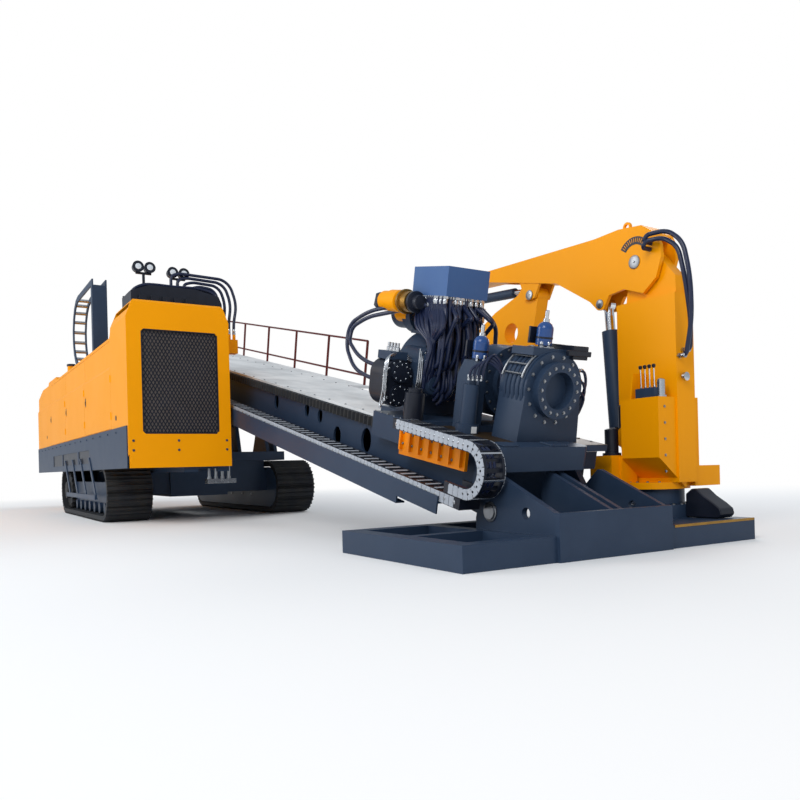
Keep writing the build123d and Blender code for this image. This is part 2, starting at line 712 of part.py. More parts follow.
with BuildPart() as roof_chain:
    roof_inner = LOOP_RADIUS - 95
    roof_outline = chain_outline(LOOP_CENTRE, LOOP_RADIUS, roof_inner, -3300, -4200, 9)
    for near in (LOOP_NEAR_Y, LOOP_NEAR_Y + LOOP_WIDTH - CHAIN_PLATE):
        across(MACHINE, near, near + CHAIN_PLATE, roof_outline)
    for step in range(10):
        turn = pi / 2 + pi * (step + 0.5) / 10
        reach = LOOP_RADIUS - 50
        centre = (LOOP_CENTRE[0] + reach * cos(turn), 0, LOOP_CENTRE[1] + reach * sin(turn))
        rung_place = Location((centre[0], LOOP_NEAR_Y + LOOP_WIDTH / 2, centre[2]))
        with Locations(MACHINE.location * rung_place):
            Box(40, LOOP_WIDTH - 2 * CHAIN_PLATE, 40)
    block(MACHINE, (-3420, -3300), (LOOP_NEAR_Y, LOOP_NEAR_Y + LOOP_WIDTH), (HOOD_TOP, LOOP_CENTRE[1] + roof_inner))
    block(MACHINE, (-4400, -4200), (LOOP_NEAR_Y, LOOP_NEAR_Y + LOOP_WIDTH),
          (HOOD_TOP, LOOP_CENTRE[1] - roof_inner))

GANTRY_HOSE_RADIUS = 20.0
with BuildPart() as gantry_hoses:
    for step in range(4):
        start_y = -660 - 85 * step
        end_y = -270 + 70 * step
        crest = 3200 + 50 * step
        hose(
            MACHINE,
            [
                (-495, start_y, 3130),
                (-495, start_y, crest - 20),
                (-495, start_y + 120, crest + 20),
                (-495, end_y - 60, crest),
                (-495, end_y + 12 + 12 * step, 3020),
                (-495, end_y, 2760),
                (-495, end_y, 2600),
            ],
            GANTRY_HOSE_RADIUS,
        )

# Drill frame
BULKHEAD = 40.0
GIRDER_OUTLINE = [
    (FRAME_REAR, GIRDER_BOTTOM),
    (FRONT_RISE_U, GIRDER_BOTTOM),
    (ANCHOR_RELIEF_U, ANCHOR_RELIEF_W),
    (GIRDER_FRONT, FRONT_BOTTOM),
    (GIRDER_FRONT, DECK_BOTTOM),
    (FRAME_REAR, DECK_BOTTOM),
]
SIDE_HOLES = ((-4643, -143, 90), (-3697, -110, 80), (-3332, -127, 80), (-2867, -281, 110), (-2209, -210, 130))
FOOT_PIN = to_mast(HINGE_X, HINGE_Z)
CHEEK_THICKNESS = 60.0
NEAR_CHEEK = 75.0
FAR_CHEEK = 1085.0
TROUGH_BOTTOM = -520.0
NOSE_BOTTOM = -95.0

with BuildPart() as main_girder:
    across(MAST, GIRDER_NEAR, GIRDER_FAR, GIRDER_OUTLINE)
    inner_girder = [
        (FRAME_REAR - 1, GIRDER_BOTTOM + GIRDER_WALL),
        (FRONT_RISE_U, GIRDER_BOTTOM + GIRDER_WALL),
        (ANCHOR_RELIEF_U, ANCHOR_RELIEF_W + GIRDER_WALL),
        (GIRDER_FRONT - BULKHEAD, FRONT_BOTTOM + GIRDER_WALL),
        (GIRDER_FRONT - BULKHEAD, DECK_BOTTOM - GIRDER_WALL),
        (FRAME_REAR - 1, DECK_BOTTOM - GIRDER_WALL),
    ]
    across(MAST, GIRDER_NEAR + GIRDER_WALL, GIRDER_FAR - GIRDER_WALL, inner_girder, Mode.SUBTRACT)
    with BuildSketch(side_plane(MAST, GIRDER_NEAR + GIRDER_WALL + 1)) as lightening:
        for hole_u, hole_w, hole_half in SIDE_HOLES:
            with Locations((hole_u, hole_w)):
                Ellipse(hole_half * 0.8, hole_half)
    extrude(lightening.sketch, amount=GIRDER_WALL + 2, mode=Mode.SUBTRACT)
    pivot_u, pivot_w = to_mast(PIVOT_X, PIVOT_Z)
    lift_u, lift_w = to_mast(*LIFT_LUG)
    for lug_v in (LUG_NEAR_V, LUG_FAR_V):
        near, far = lug_v - LUG_WIDTH / 2, lug_v + LUG_WIDTH / 2
        across(
            MAST,
            near,
            far,
            [(pivot_u - 240, GIRDER_BOTTOM), (pivot_u - 90, pivot_w), (pivot_u + 90, pivot_w),
             (pivot_u + 240, GIRDER_BOTTOM)],
        )
        pin(MAST, near, far, (pivot_u, pivot_w), 100)
        pin(MAST, near, far, (pivot_u, pivot_w), PIVOT_PIN_RADIUS + PIN_CLEARANCE, Mode.SUBTRACT)
    for lift_v in LIFT_V:
        for turn in (-1, 1):
            near, far = sorted((lift_v + turn * 58, lift_v + turn * 88))
            across(
                MAST,
                near,
                far,
                [(lift_u - 160, GIRDER_BOTTOM), (lift_u - 60, lift_w - 60), (lift_u + 60, lift_w - 60),
                 (lift_u + 160, GIRDER_BOTTOM)],
            )
        pin(MAST, lift_v - 58, lift_v + 58, (lift_u, lift_w), LIFT_EYE_PIN_RADIUS)

    for near in (NEAR_CHEEK, FAR_CHEEK):
        across(
            MAST,
            near,
            near + CHEEK_THICKNESS,
            [(GIRDER_FRONT, FRONT_BOTTOM), (FOOT_PIN[0] - 40, FOOT_PIN[1] - 95),
             (FOOT_PIN[0] + 80, FOOT_PIN[1] - 40), (NOSE_FRONT, NOSE_BOTTOM), (NOSE_FRONT, DECK_BOTTOM),
             (GIRDER_FRONT, DECK_BOTTOM)],
        )
        pin(MAST, near, near + CHEEK_THICKNESS, FOOT_PIN, 105)
        pin(MAST, near, near + CHEEK_THICKNESS, FOOT_PIN, HINGE_PIN_RADIUS + PIN_CLEARANCE, Mode.SUBTRACT)
    block(MAST, (GIRDER_FRONT, NOSE_FRONT), (NEAR_CHEEK, GIRDER_FAR), (NOSE_BOTTOM, DECK_BOTTOM))
    trough_section = [
        (GIRDER_NEAR, TROUGH_FLOOR),
        (TROUGH_NEAR + SHEET, TROUGH_FLOOR),
        (TROUGH_NEAR + SHEET, TROUGH_LIP),
        (TROUGH_NEAR, TROUGH_LIP),
        (TROUGH_NEAR, TROUGH_BOTTOM),
        (TROUGH_NEAR + 90, TROUGH_BOTTOM),
        (TROUGH_NEAR + 90, TROUGH_BOTTOM + SHEET),
        (TROUGH_NEAR + SHEET, TROUGH_BOTTOM + SHEET),
        (TROUGH_NEAR + SHEET, TROUGH_FLOOR - SHEET),
        (GIRDER_NEAR, TROUGH_FLOOR - SHEET),
    ]
    along(MAST, FRAME_REAR + 200, GIRDER_FRONT, trough_section)
    block(MAST, (ANCHOR_RELIEF_U - 30, GIRDER_FRONT + 1), (TROUGH_NEAR - 1, GIRDER_NEAR),
          (TROUGH_BOTTOM - 1, ANCHOR_RELIEF_W), Mode.SUBTRACT)
    for rib_u in range(-13000, -500, 1500):
        along(
            MAST,
            rib_u,
            rib_u + 16,
            [(TROUGH_NEAR + SHEET, TROUGH_BOTTOM + SHEET), (GIRDER_NEAR, TROUGH_FLOOR - 60),
             (GIRDER_NEAR, TROUGH_FLOOR - SHEET), (TROUGH_NEAR + SHEET, TROUGH_FLOOR - SHEET)],
        )

with BuildPart() as deck_plates:
    block(MAST, (FRAME_REAR, NOSE_FRONT), (GIRDER_NEAR, GIRDER_FAR), (DECK_BOTTOM, DECK_TOP))
    block(MAST, (FRAME_REAR, RAIL_FRONT + 120), (GIRDER_FAR, RAIL_V + 25), (DECK_BOTTOM - 14, DECK_TOP))
    for bracket in range(10):
        bracket_u = RAIL_FRONT - 60 - bracket * 940
        along(
            MAST,
            bracket_u,
            bracket_u + 16,
            [(GIRDER_FAR, DECK_BOTTOM - 14), (GIRDER_FAR, -260), (RAIL_V, DECK_BOTTOM - 14)],
        )

RACK_REAR = FRAME_REAR + 120
RACK_FRONT = -1000.0
RACK_HIGH = 56.0
RACK_LOW = -34.0
rack_count = int((RACK_FRONT - RACK_REAR) // RACK_PITCH)
rack_outline = [(RACK_REAR, GIRDER_NEAR), (RACK_REAR, GIRDER_NEAR - RACK_BACK)]
for tooth in range(rack_count):
    for share, depth in ((0.20, 0.0), (0.36, RACK_TOOTH), (0.64, RACK_TOOTH), (0.80, 0.0)):
        rack_outline.append((RACK_REAR + (tooth + share) * RACK_PITCH, GIRDER_NEAR - RACK_BACK - depth))
rack_end = RACK_REAR + rack_count * RACK_PITCH
rack_outline += [(rack_end, GIRDER_NEAR - RACK_BACK), (rack_end, GIRDER_NEAR)]
with BuildPart() as feed_rack:
    upward(MAST, RACK_LOW, RACK_HIGH, rack_outline)

# Lower run of the drag chain: a ladder of side plates and rungs.
LOWER_RUN_REAR = -6700.0
LOWER_RUN_FRONT = 20.0
LOWER_RUN_LOW = TROUGH_FLOOR + SEAT
lower_links = int((LOWER_RUN_FRONT - LOWER_RUN_REAR) // CHAIN_PITCH)
with BuildPart() as chain_lower_run:
    with BuildSketch(level_plane(MAST, LOWER_RUN_LOW)) as ladder:
        with Locations(((LOWER_RUN_REAR + LOWER_RUN_FRONT) / 2, CHAIN_NEAR + CHAIN_WIDTH / 2)):
            Rectangle(LOWER_RUN_FRONT - LOWER_RUN_REAR, CHAIN_WIDTH)
            with GridLocations(CHAIN_PITCH, 0, lower_links, 1):
                Rectangle(CHAIN_PITCH * 0.72, CHAIN_WIDTH - 2 * CHAIN_PLATE, mode=Mode.SUBTRACT)
    extrude(ladder.sketch, amount=CHAIN_HEIGHT)

# Hand railing along the far side's walkway.
rail_posts = int((RAIL_FRONT - FRAME_REAR) // RAIL_POST_PITCH) + 1
rail_top = DECK_TOP + RAIL_HEIGHT
rail_rear = RAIL_FRONT - (rail_posts - 1) * RAIL_POST_PITCH
with BuildPart() as railing:
    for index in range(rail_posts):
        post(MAST, DECK_TOP, rail_top, (RAIL_FRONT - index * RAIL_POST_PITCH, RAIL_V), RAIL_RADIUS)
    for height in (rail_top, (DECK_TOP + rail_top) / 2 - 180):
        shaft(MAST, rail_rear, RAIL_FRONT, (RAIL_V, height), RAIL_RADIUS * 0.8)

# Carriage and power head
CARRIAGE_REAR = -2300.0
CARRIAGE_NEAR_REAR = -1880.0
CARRIAGE_FRONT = -1170.0
CARRIAGE_LOW = DECK_TOP + SLIDE_GAP
CARRIAGE_TOP = 150.0
SKIRT_NEAR = 30.0
SKIRT_FAR = GIRDER_FAR + SLIDE_GAP
BRACKET_REAR = -1300.0
BRACKET_FRONT = -280.0
with BuildPart() as carriage:
    carriage_section = [
        (SKIRT_NEAR, -90),
        (SKIRT_NEAR + 30, -90),
        (SKIRT_NEAR + 30, CARRIAGE_LOW),
        (GIRDER_FAR - 20, CARRIAGE_LOW),
        (GIRDER_FAR - 20, CARRIAGE_TOP),
        (SKIRT_NEAR, CARRIAGE_TOP),
    ]
    along(MAST, CARRIAGE_REAR, CARRIAGE_FRONT, carriage_section)
    block(MAST, (CARRIAGE_REAR - 1, CARRIAGE_NEAR_REAR), (SKIRT_NEAR - 1, 360), (-91, CARRIAGE_TOP + 1), Mode.SUBTRACT)
    for near in (420, 990):
        across(
            MAST,
            near,
            near + 60,
            [(CARRIAGE_REAR + 60, CARRIAGE_TOP), (HEAD_REAR, 430), (HEAD_REAR, CARRIAGE_TOP)],
        )

# Ribbed bracket on the carriage's near skirt that pulls the drag chain.
with BuildPart() as chain_bracket:
    across(
        MAST,
        0,
        SKIRT_NEAR,
        [(BRACKET_REAR, -170), (BRACKET_REAR, 140), (BRACKET_FRONT, 90), (BRACKET_FRONT, -120)],
    )
    for rib in range(7):
        rib_u = BRACKET_REAR + 30 + rib * 155
        block(MAST, (rib_u, rib_u + 22), (-30, 0), (-120 + rib * 4, 100 - rib * 4))

REDUCER_V = 415.0
REDUCER_W = 577.0
REDUCER_U = (-1900.0, -1500.0)
REDUCER_SIZE = (330.0, 470.0)
REDUCER_NEAR = REDUCER_V - REDUCER_SIZE[0] / 2
with BuildPart() as gearbox:
    with BuildSketch(cross_plane(MAST, HEAD_REAR)) as gear_case:
        with Locations((DRILL_V, DRILL_W)):
            Circle(395)
        with BuildLine():
            Polyline((380, CARRIAGE_TOP), (1110, CARRIAGE_TOP), (1060, DRILL_W), (430, DRILL_W), close=True)
        make_face()
    extrude(gear_case.sketch, amount=HEAD_FRONT - 60 - HEAD_REAR)
    for reducer_v in (REDUCER_V, 2 * DRILL_V - REDUCER_V):
        with BuildSketch(cross_plane(MAST, REDUCER_U[0])) as reducer:
            with Locations((reducer_v, REDUCER_W)):
                RectangleRounded(*REDUCER_SIZE, REDUCER_SIZE[0] / 2 - 5)
        extrude(reducer.sketch, amount=REDUCER_U[1] - REDUCER_U[0])
    shaft(MAST, HEAD_FRONT - 60, HEAD_FRONT, (DRILL_V, DRILL_W), 330)
    shaft(MAST, HEAD_FRONT, HEAD_FRONT + 160, (DRILL_V, DRILL_W), 215)
    shaft(MAST, HEAD_FRONT - 10, HEAD_FRONT + 161, (DRILL_V, DRILL_W), SPINDLE_RADIUS + 5, Mode.SUBTRACT)
    shaft(MAST, -2480, -2200, (640, 1120), 150)
    shaft(MAST, -2200, HEAD_REAR, (640, 1120), 190)
    block(MAST, (HEAD_REAR - 80, HEAD_REAR + 260), (540, 960), (930, 1180))

# Rotation motors beside the reducers, and the feed motors that stand on the carriage.
MOTOR_V = 90.0
MOTOR_W = 456.0
MOTOR_U = (-1850.0, -1560.0)
MOTOR_SIZE = (306.0, 450.0)
MOTOR_CAP = 40.0
FEED_MOTORS = (138, 1210)
FEED_MOTOR_U = -1330.0
with BuildPart() as drive_motors:
    for side in (1, -1):
        motor_v = DRILL_V - side * (DRILL_V - MOTOR_V)
        with BuildSketch(cross_plane(MAST, MOTOR_U[0])) as motor:
            with Locations((motor_v, MOTOR_W)):
                RectangleRounded(*MOTOR_SIZE, MOTOR_SIZE[0] / 2 - 5)
        extrude(motor.sketch, amount=MOTOR_U[1] - MOTOR_U[0])
        for turn in (-1, 1):
            shaft(MAST, MOTOR_U[1], MOTOR_U[1] + MOTOR_CAP, (motor_v, MOTOR_W + turn * 105), 95)
        seat_v = DRILL_V - side * (DRILL_V - REDUCER_NEAR + SEAT)
        block(MAST, (MOTOR_U[0] + 60, MOTOR_U[1] - 40), sorted((motor_v + side * 100, seat_v)), (450, 600))
    for motor_v in FEED_MOTORS:
        post(MAST, CARRIAGE_TOP, 400, (FEED_MOTOR_U, motor_v), 95)
        post(MAST, 400, 440, (FEED_MOTOR_U, motor_v), 70)

BOX_U = (-1950.0, -1360.0)
BOX_V = (400.0, 880.0)
BOX_BOTTOM = 1300.0
BOX_HEIGHT = 275.0
BOX_W = (BOX_BOTTOM, BOX_BOTTOM + BOX_HEIGHT)
BOX_PLINTH_BOTTOM = 1180.0
BOX_PLINTH_NEAR = BOX_V[0] + 60
with BuildPart() as valve_box:
    block(MAST, BOX_U, BOX_V, BOX_W)
    block(
        MAST,
        (BOX_U[0] + 130, BOX_U[1] - 90),
        (BOX_PLINTH_NEAR, BOX_V[1] - 60),
        (BOX_PLINTH_BOTTOM, BOX_BOTTOM),
    )

HOSE_RADIUS = 21.0
# Hoses from the valve box down to the head: start v, reach forward, angle on the case, end's u.
CASE_FRONT_U = HEAD_FRONT - 60
HEAD_HOSES = (
    (425, 60, 172, REDUCER_U[1]),
    (495, 150, 152, REDUCER_U[1]),
    (565, 90, 130, CASE_FRONT_U),
    (635, 180, 112, CASE_FRONT_U),
    (705, 110, 78, CASE_FRONT_U),
    (775, 200, 55, CASE_FRONT_U),
    (845, 130, 31, REDUCER_U[1]),
)
HOSE_RING = 362.0
# Motor hoses that loop out behind the head: start u, start w, crest u, crest w, return w.
MOTOR_HOSES = (
    (-1700, 1270, -2790, 960, 450),
    (-1650, 1212, -2728, 930, 590),
)
with BuildPart() as head_hoses:
    for start_v, reach, angle, end_u in HEAD_HOSES:
        end_v = DRILL_V + HOSE_RING * cos(radians(angle))
        end_w = DRILL_W + HOSE_RING * sin(radians(angle))
        start_u = BOX_U[1] - 45
        hose(
            MAST,
            [
                (start_u, start_v, BOX_BOTTOM),
                (start_u, start_v, BOX_BOTTOM - 70),
                (start_u + reach, (start_v * 2 + end_v) / 3, BOX_BOTTOM - 190),
                (start_u + reach - 30, (start_v + end_v * 2) / 3, (BOX_BOTTOM + end_w) / 2),
                (end_u + 130, end_v, end_w),
                (end_u, end_v, end_w),
            ],
            HOSE_RADIUS,
        )
    for start_u, start_w, crest_u, crest_w, return_w in MOTOR_HOSES:
        hose(
            MAST,
            [
                (start_u, BOX_PLINTH_NEAR, start_w),
                (start_u, BOX_PLINTH_NEAR - 70, start_w),
                (-2050, 330, start_w - 72),
                (-2500, 230, start_w - 160),
                (crest_u, 170, crest_w),
                (crest_u + 35, 130, (crest_w + return_w) / 2 + 20),
                (crest_u + 290, 105, return_w + 60),
                (MOTOR_U[0] - 300, MOTOR_V + 5, return_w),
                (MOTOR_U[0], MOTOR_V + 5, return_w),
            ],
            HOSE_RADIUS,
        )

CHAIN_RADIUS_CENTRE_W = (CHAIN_TOP + LOWER_RUN_LOW + CHAIN_HEIGHT + CHAIN_RUNNING_GAP) / 2
CHAIN_LOOP_RADIUS = CHAIN_TOP - CHAIN_RADIUS_CENTRE_W
CHAIN_LOOP_U = 282.0 - CHAIN_LOOP_RADIUS
with BuildPart() as chain_loop:
    loop_steps = 9
    outer = CHAIN_LOOP_RADIUS
    inner = outer - CHAIN_HEIGHT
    turns = [pi / 2 - pi * step / loop_steps for step in range(loop_steps + 1)]
    outside = [(CHAIN_LOOP_U + outer * cos(a), CHAIN_RADIUS_CENTRE_W + outer * sin(a)) for a in turns]
    inside = [(CHAIN_LOOP_U + inner * cos(a), CHAIN_RADIUS_CENTRE_W + inner * sin(a)) for a in reversed(turns)]
    loop_outline = (
        [(BRACKET_REAR + 240, CHAIN_TOP)] + outside
        + [(CHAIN_LOOP_U - 260, CHAIN_RADIUS_CENTRE_W - outer), (CHAIN_LOOP_U - 260, CHAIN_RADIUS_CENTRE_W - inner)]
        + inside + [(BRACKET_REAR + 240, CHAIN_TOP - CHAIN_HEIGHT)]
    )
    for near in (CHAIN_NEAR, CHAIN_NEAR + CHAIN_WIDTH - CHAIN_PLATE):
        across(MAST, near, near + CHAIN_PLATE, loop_outline)
    rung_reach = outer - CHAIN_HEIGHT / 2
    for step in range(8):
        turn = pi / 2 - pi * (step + 0.5) / 8
        centre = (
            CHAIN_LOOP_U + rung_reach * cos(turn),
            CHAIN_NEAR + CHAIN_WIDTH / 2,
            CHAIN_RADIUS_CENTRE_W + rung_reach * sin(turn),
        )
        with Locations(MAST.location * Location(centre)):
            Box(34, CHAIN_WIDTH - 2 * CHAIN_PLATE, 34)
    for rung_u in range(-1030, -60, 130):
        block(MAST, (rung_u, rung_u + 36), (CHAIN_NEAR + CHAIN_PLATE, CHAIN_NEAR + CHAIN_WIDTH - CHAIN_PLATE),
              (CHAIN_TOP - 60, CHAIN_TOP - 30))
    block(MAST, (-1040, -980), (CHAIN_NEAR + CHAIN_WIDTH, 0), (CHAIN_TOP - 90, CHAIN_TOP - 60))

# Spindle with its threaded nose
with BuildPart() as spindle:
    shaft(MAST, HEAD_FRONT - 9, HEAD_FRONT + 260, (DRILL_V, DRILL_W), SPINDLE_RADIUS)
    shaft(MAST, HEAD_FRONT + 170, HEAD_FRONT + 260, (DRILL_V, DRILL_W), 180)
    with BuildSketch(cross_plane(MAST, HEAD_FRONT + 260)) as nose:
        with Locations((DRILL_V, DRILL_W)):
            Circle(95)
    extrude(nose.sketch, amount=170, taper=5)
    shaft(MAST, HEAD_FRONT + 200, HEAD_FRONT + 431, (DRILL_V, DRILL_W), 38, Mode.SUBTRACT)

# Vises on their sliding base
TABLE_TOP = 140.0
BEAM_U = (-50.0, 170.0)
BEAM_V = (-30.0, 930.0)
BEAM_W = (-30.0, 165.0)
FRONT_VISE = (-480.0, -150.0)
REAR_VISE = (-960.0, -680.0)
ROTARY_RADIUS = 325.0
CRADLE = ROTARY_RADIUS + SEAT
CRADLE_TOP = 760.0
with BuildPart() as vise_base:
    block(MAST, (-1000, -15), (GIRDER_NEAR - 40, GIRDER_FAR), (CARRIAGE_LOW, TABLE_TOP))
    with BuildSketch(level_plane(MAST, BEAM_W[0])) as beam:
        with Locations((sum(BEAM_U) / 2, sum(BEAM_V) / 2)):
            RectangleRounded(BEAM_U[1] - BEAM_U[0], BEAM_V[1] - BEAM_V[0], 70)
    extrude(beam.sketch, amount=BEAM_W[1] - BEAM_W[0])

    for near, far in ((DRILL_V - 400, DRILL_V - CRADLE), (DRILL_V + CRADLE, DRILL_V + 400)):
        across(
            MAST,
            near,
            far,
            [(REAR_VISE[0] - 20, TABLE_TOP), (REAR_VISE[1] + 20, TABLE_TOP), (REAR_VISE[1] + 20, 620),
             (REAR_VISE[1] + 5, CRADLE_TOP), (REAR_VISE[0] + 60, CRADLE_TOP), (REAR_VISE[0] - 20, 620)],
        )
    block(MAST, (REAR_VISE[0] - 20, REAR_VISE[1] + 20), (DRILL_V - 340, DRILL_V + 340), (TABLE_TOP, 200))
    post(MAST, TABLE_TOP, TABLE_TOP + 80, (-640, 255), 100)
    post(MAST, TABLE_TOP + 80, 560, (-640, 255), 70)
    post(MAST, 560, 610, (-640, 255), 40)

with BuildPart() as front_vise:
    with BuildSketch(cross_plane(MAST, FRONT_VISE[0])) as vise_body:
        with Locations((DRILL_V, DRILL_W)):
            Circle(315)
        with BuildLine():
            Polyline((DRILL_V - 340, TABLE_TOP), (DRILL_V + 340, TABLE_TOP), (DRILL_V + 300, DRILL_W + 60),
                     (DRILL_V - 300, DRILL_W + 60), close=True)
        make_face()
    extrude(vise_body.sketch, amount=FRONT_VISE[1] - FRONT_VISE[0])
    shaft(MAST, FRONT_VISE[1], FRONT_VISE[1] + 70, (DRILL_V, DRILL_W), 235)
    shaft(MAST, FRONT_VISE[0] - 1, FRONT_VISE[1] + 71, (DRILL_V, DRILL_W), BORE_RADIUS, Mode.SUBTRACT)
    block(MAST, (FRONT_VISE[0] + 30, FRONT_VISE[1] - 30), (DRILL_V - 250, DRILL_V + 250), (860, 925))

with BuildPart() as rotary_vise:
    shaft(MAST, *REAR_VISE, (DRILL_V, DRILL_W), ROTARY_RADIUS)
    shaft(MAST, REAR_VISE[1], REAR_VISE[1] + 60, (DRILL_V, DRILL_W), 230)
    shaft(MAST, REAR_VISE[0] - 1, REAR_VISE[1] + 61, (DRILL_V, DRILL_W), BORE_RADIUS, Mode.SUBTRACT)
    for turn in (0, 120, 240):
        angle = radians(turn + 90)
        centre = (
            (REAR_VISE[0] + REAR_VISE[1]) / 2,
            DRILL_V + 262 * cos(angle),
            DRILL_W + 262 * sin(angle),
        )
        with Locations(MAST.location * Location(centre)):
            Box(60, 40, 40, mode=Mode.SUBTRACT)

ACCUMULATORS = ((-330, 730, 925), (-735, 385, CRADLE_TOP))
BOTTLE_RADIUS = 70.0
BOTTLE_NECK = 20.0
BOTTLE_BODY = 130.0
BOTTLE_VALVE = 90.0
with BuildPart() as accumulators:
    for bottle_u, bottle_v, foot_w in ACCUMULATORS:
        low = foot_w + BOTTLE_NECK
        high = low + BOTTLE_BODY
        post(MAST, foot_w, low, (bottle_u, bottle_v), 45)
        post(MAST, low, high, (bottle_u, bottle_v), BOTTLE_RADIUS)
        with Locations(MAST.location * Location((bottle_u, bottle_v, high))):
            Sphere(BOTTLE_RADIUS)
        post(MAST, high + BOTTLE_RADIUS - 10, high + BOTTLE_RADIUS + BOTTLE_VALVE, (bottle_u, bottle_v), 16)

ANCHOR_RIBS = ((10.0, 60.0), (560.0, 600.0), (660.0, 700.0), (1150.0, 1190.0))
RIB_PEAK_X = 5090.0
RIB_PEAK_Z = 632.0
RIB_TOP_Z = 480.0
RIB_REAR_X = 4830.0
INNER_RIB_REAR_X = 5000.0
POCKET_FLOOR = 20.0

# Anchor: base frame with pockets, front plate, sloping ribs and crane pedestal.
with BuildPart() as anchor_base:
    upward(
        MACHINE,
        0,
        ANCHOR_HEIGHT,
        [(ANCHOR_REAR_X, ANCHOR_NEAR_Y), (ANCHOR_FRONT_X, ANCHOR_NEAR_Y), (ANCHOR_FRONT_X, ANCHOR_FAR_Y),
         (ANCHOR_REAR_X + 250, ANCHOR_FAR_Y), (ANCHOR_REAR_X + 250, FRONT_PLATE_FAR_Y + 60),
         (ANCHOR_REAR_X, FRONT_PLATE_FAR_Y + 60)],
    )
    inner_rear = ANCHOR_REAR_X + ANCHOR_RIM
    inner_front = ANCHOR_FRONT_X - ANCHOR_RIM
    for rear, front, near, far in (
        (inner_rear, POCKET_RIB_X - POCKET_RIB / 2, ANCHOR_NEAR_Y + ANCHOR_RIM, -60),
        (POCKET_RIB_X + POCKET_RIB / 2, inner_front, ANCHOR_NEAR_Y + ANCHOR_RIM, -60),
        (inner_rear, inner_front, 60, FRONT_PLATE_FAR_Y - 60),
    ):
        block(MACHINE, (rear, front), (near, far), (POCKET_FLOOR, ANCHOR_HEIGHT + 1), Mode.SUBTRACT)
    block(
        MACHINE,
        (ANCHOR_FRONT_X - 30, ANCHOR_FRONT_X + 30),
        (0, FRONT_PLATE_FAR_Y),
        (0, FRONT_PLATE_TOP),
    )

    for index, (near, far) in enumerate(ANCHOR_RIBS):
        outer_rib = index in (0, len(ANCHOR_RIBS) - 1)
        outline = [
            (ANCHOR_FRONT_X - 30, ANCHOR_HEIGHT),
            (ANCHOR_FRONT_X - 30, FRONT_PLATE_TOP),
            (RIB_PEAK_X, RIB_PEAK_Z),
            (RIB_PEAK_X - 30, RIB_PEAK_Z),
        ]
        if outer_rib:
            outline += [
                (RIB_REAR_X + 60, RIB_TOP_Z),
                (RIB_REAR_X, ANCHOR_HEIGHT + 90),
                (RIB_REAR_X, ANCHOR_HEIGHT),
            ]
        else:
            outline += [
                (INNER_RIB_REAR_X, RIB_TOP_Z),
                (INNER_RIB_REAR_X, POCKET_FLOOR),
                (inner_front, POCKET_FLOOR),
                (inner_front, ANCHOR_HEIGHT),
            ]
        across(MACHINE, near, far, outline)
        if outer_rib:
            pin(MACHINE, near, far, (5430, 330), 45, Mode.SUBTRACT)
    for near, far in ((60, 75 + CHEEK_THICKNESS + 10), (FAR_CHEEK - 10, 1150)):
        pin(MACHINE, near, far, (HINGE_X, HINGE_Z), HINGE_PIN_RADIUS)

    post(MACHINE, ANCHOR_HEIGHT, 300, (CRANE_X, CRANE_Y), 300)
    post(MACHINE, 300, SLEW_TOP, (CRANE_X, CRANE_Y), 240)

# Crane column with its control housing
HOUSING_TOP = 1245.0
with BuildPart() as crane_column:
    post(MACHINE, SLEW_TOP + SEAT, SLEW_TOP + 60, (CRANE_X, CRANE_Y), 290)
    column_near = CRANE_Y - COLUMN_WIDTH / 2
    column_far = CRANE_Y + COLUMN_WIDTH / 2
    across(
        MACHINE,
        column_near,
        column_far,
        [(COLUMN_REAR_X + 60, SLEW_TOP + 60), (COLUMN_FRONT_X, SLEW_TOP + 60), (COLUMN_FRONT_X, 2160),
         (COLUMN_REAR_X, 2160), (COLUMN_REAR_X, 900)],
    )
    across(
        MACHINE,
        CRANE_Y - HEAD_WIDTH / 2,
        CRANE_Y + HEAD_WIDTH / 2,
        [(COLUMN_REAR_X + 70, 2160), (COLUMN_FRONT_X - 30, 2160), (COLUMN_FRONT_X - 30, 2320),
         (BOOM_PIN[0] + 130, 2640), (BOOM_PIN[0] - 90, 2640)],
    )
    with BuildSketch(cross_plane(MACHINE, 4930)) as housing:
        with BuildLine():
            Polyline((1600, HOUSING_TOP), (CRANE_Y, HOUSING_TOP), (CRANE_Y, 460), (1930, 460),
                     (1600, 720), close=True)
        make_face()
    extrude(housing.sketch, amount=5345 - 4930)
    block(MACHINE, (4980, 5345), (column_far, 2130), (460, HOUSING_TOP))
    block(MACHINE, (5060, 5345), (2130, 2420), (460, 640))
    block(MACHINE, (4640, 4900), (1500, 1800), (470, 750))
    block(MACHINE, (4900, 4931), (1600, 1800), (500, 740))
    for turn in (-1, 1):
        near, far = sorted((CRANE_Y + turn * 40, CRANE_Y + turn * 75))
        across(
            MACHINE,
            near,
            far,
            [(COLUMN_REAR_X + 20, 800), (COLUMN_REAR_X + 20, 1035), (4690, 1035), (4650, 985), (4550, 985),
             (4520, 930), (4550, 875), (4640, 850)],
        )
    pin(MACHINE, CRANE_Y - 40, CRANE_Y + 40, LIFT_FOOT, CRANE_PIN_RADIUS)
    across(
        MACHINE,
        1640,
        1820,
        [(5000, HOUSING_TOP), (5030, HOUSING_TOP + 230), (5050, HOUSING_TOP + 230), (5020, HOUSING_TOP)],
    )

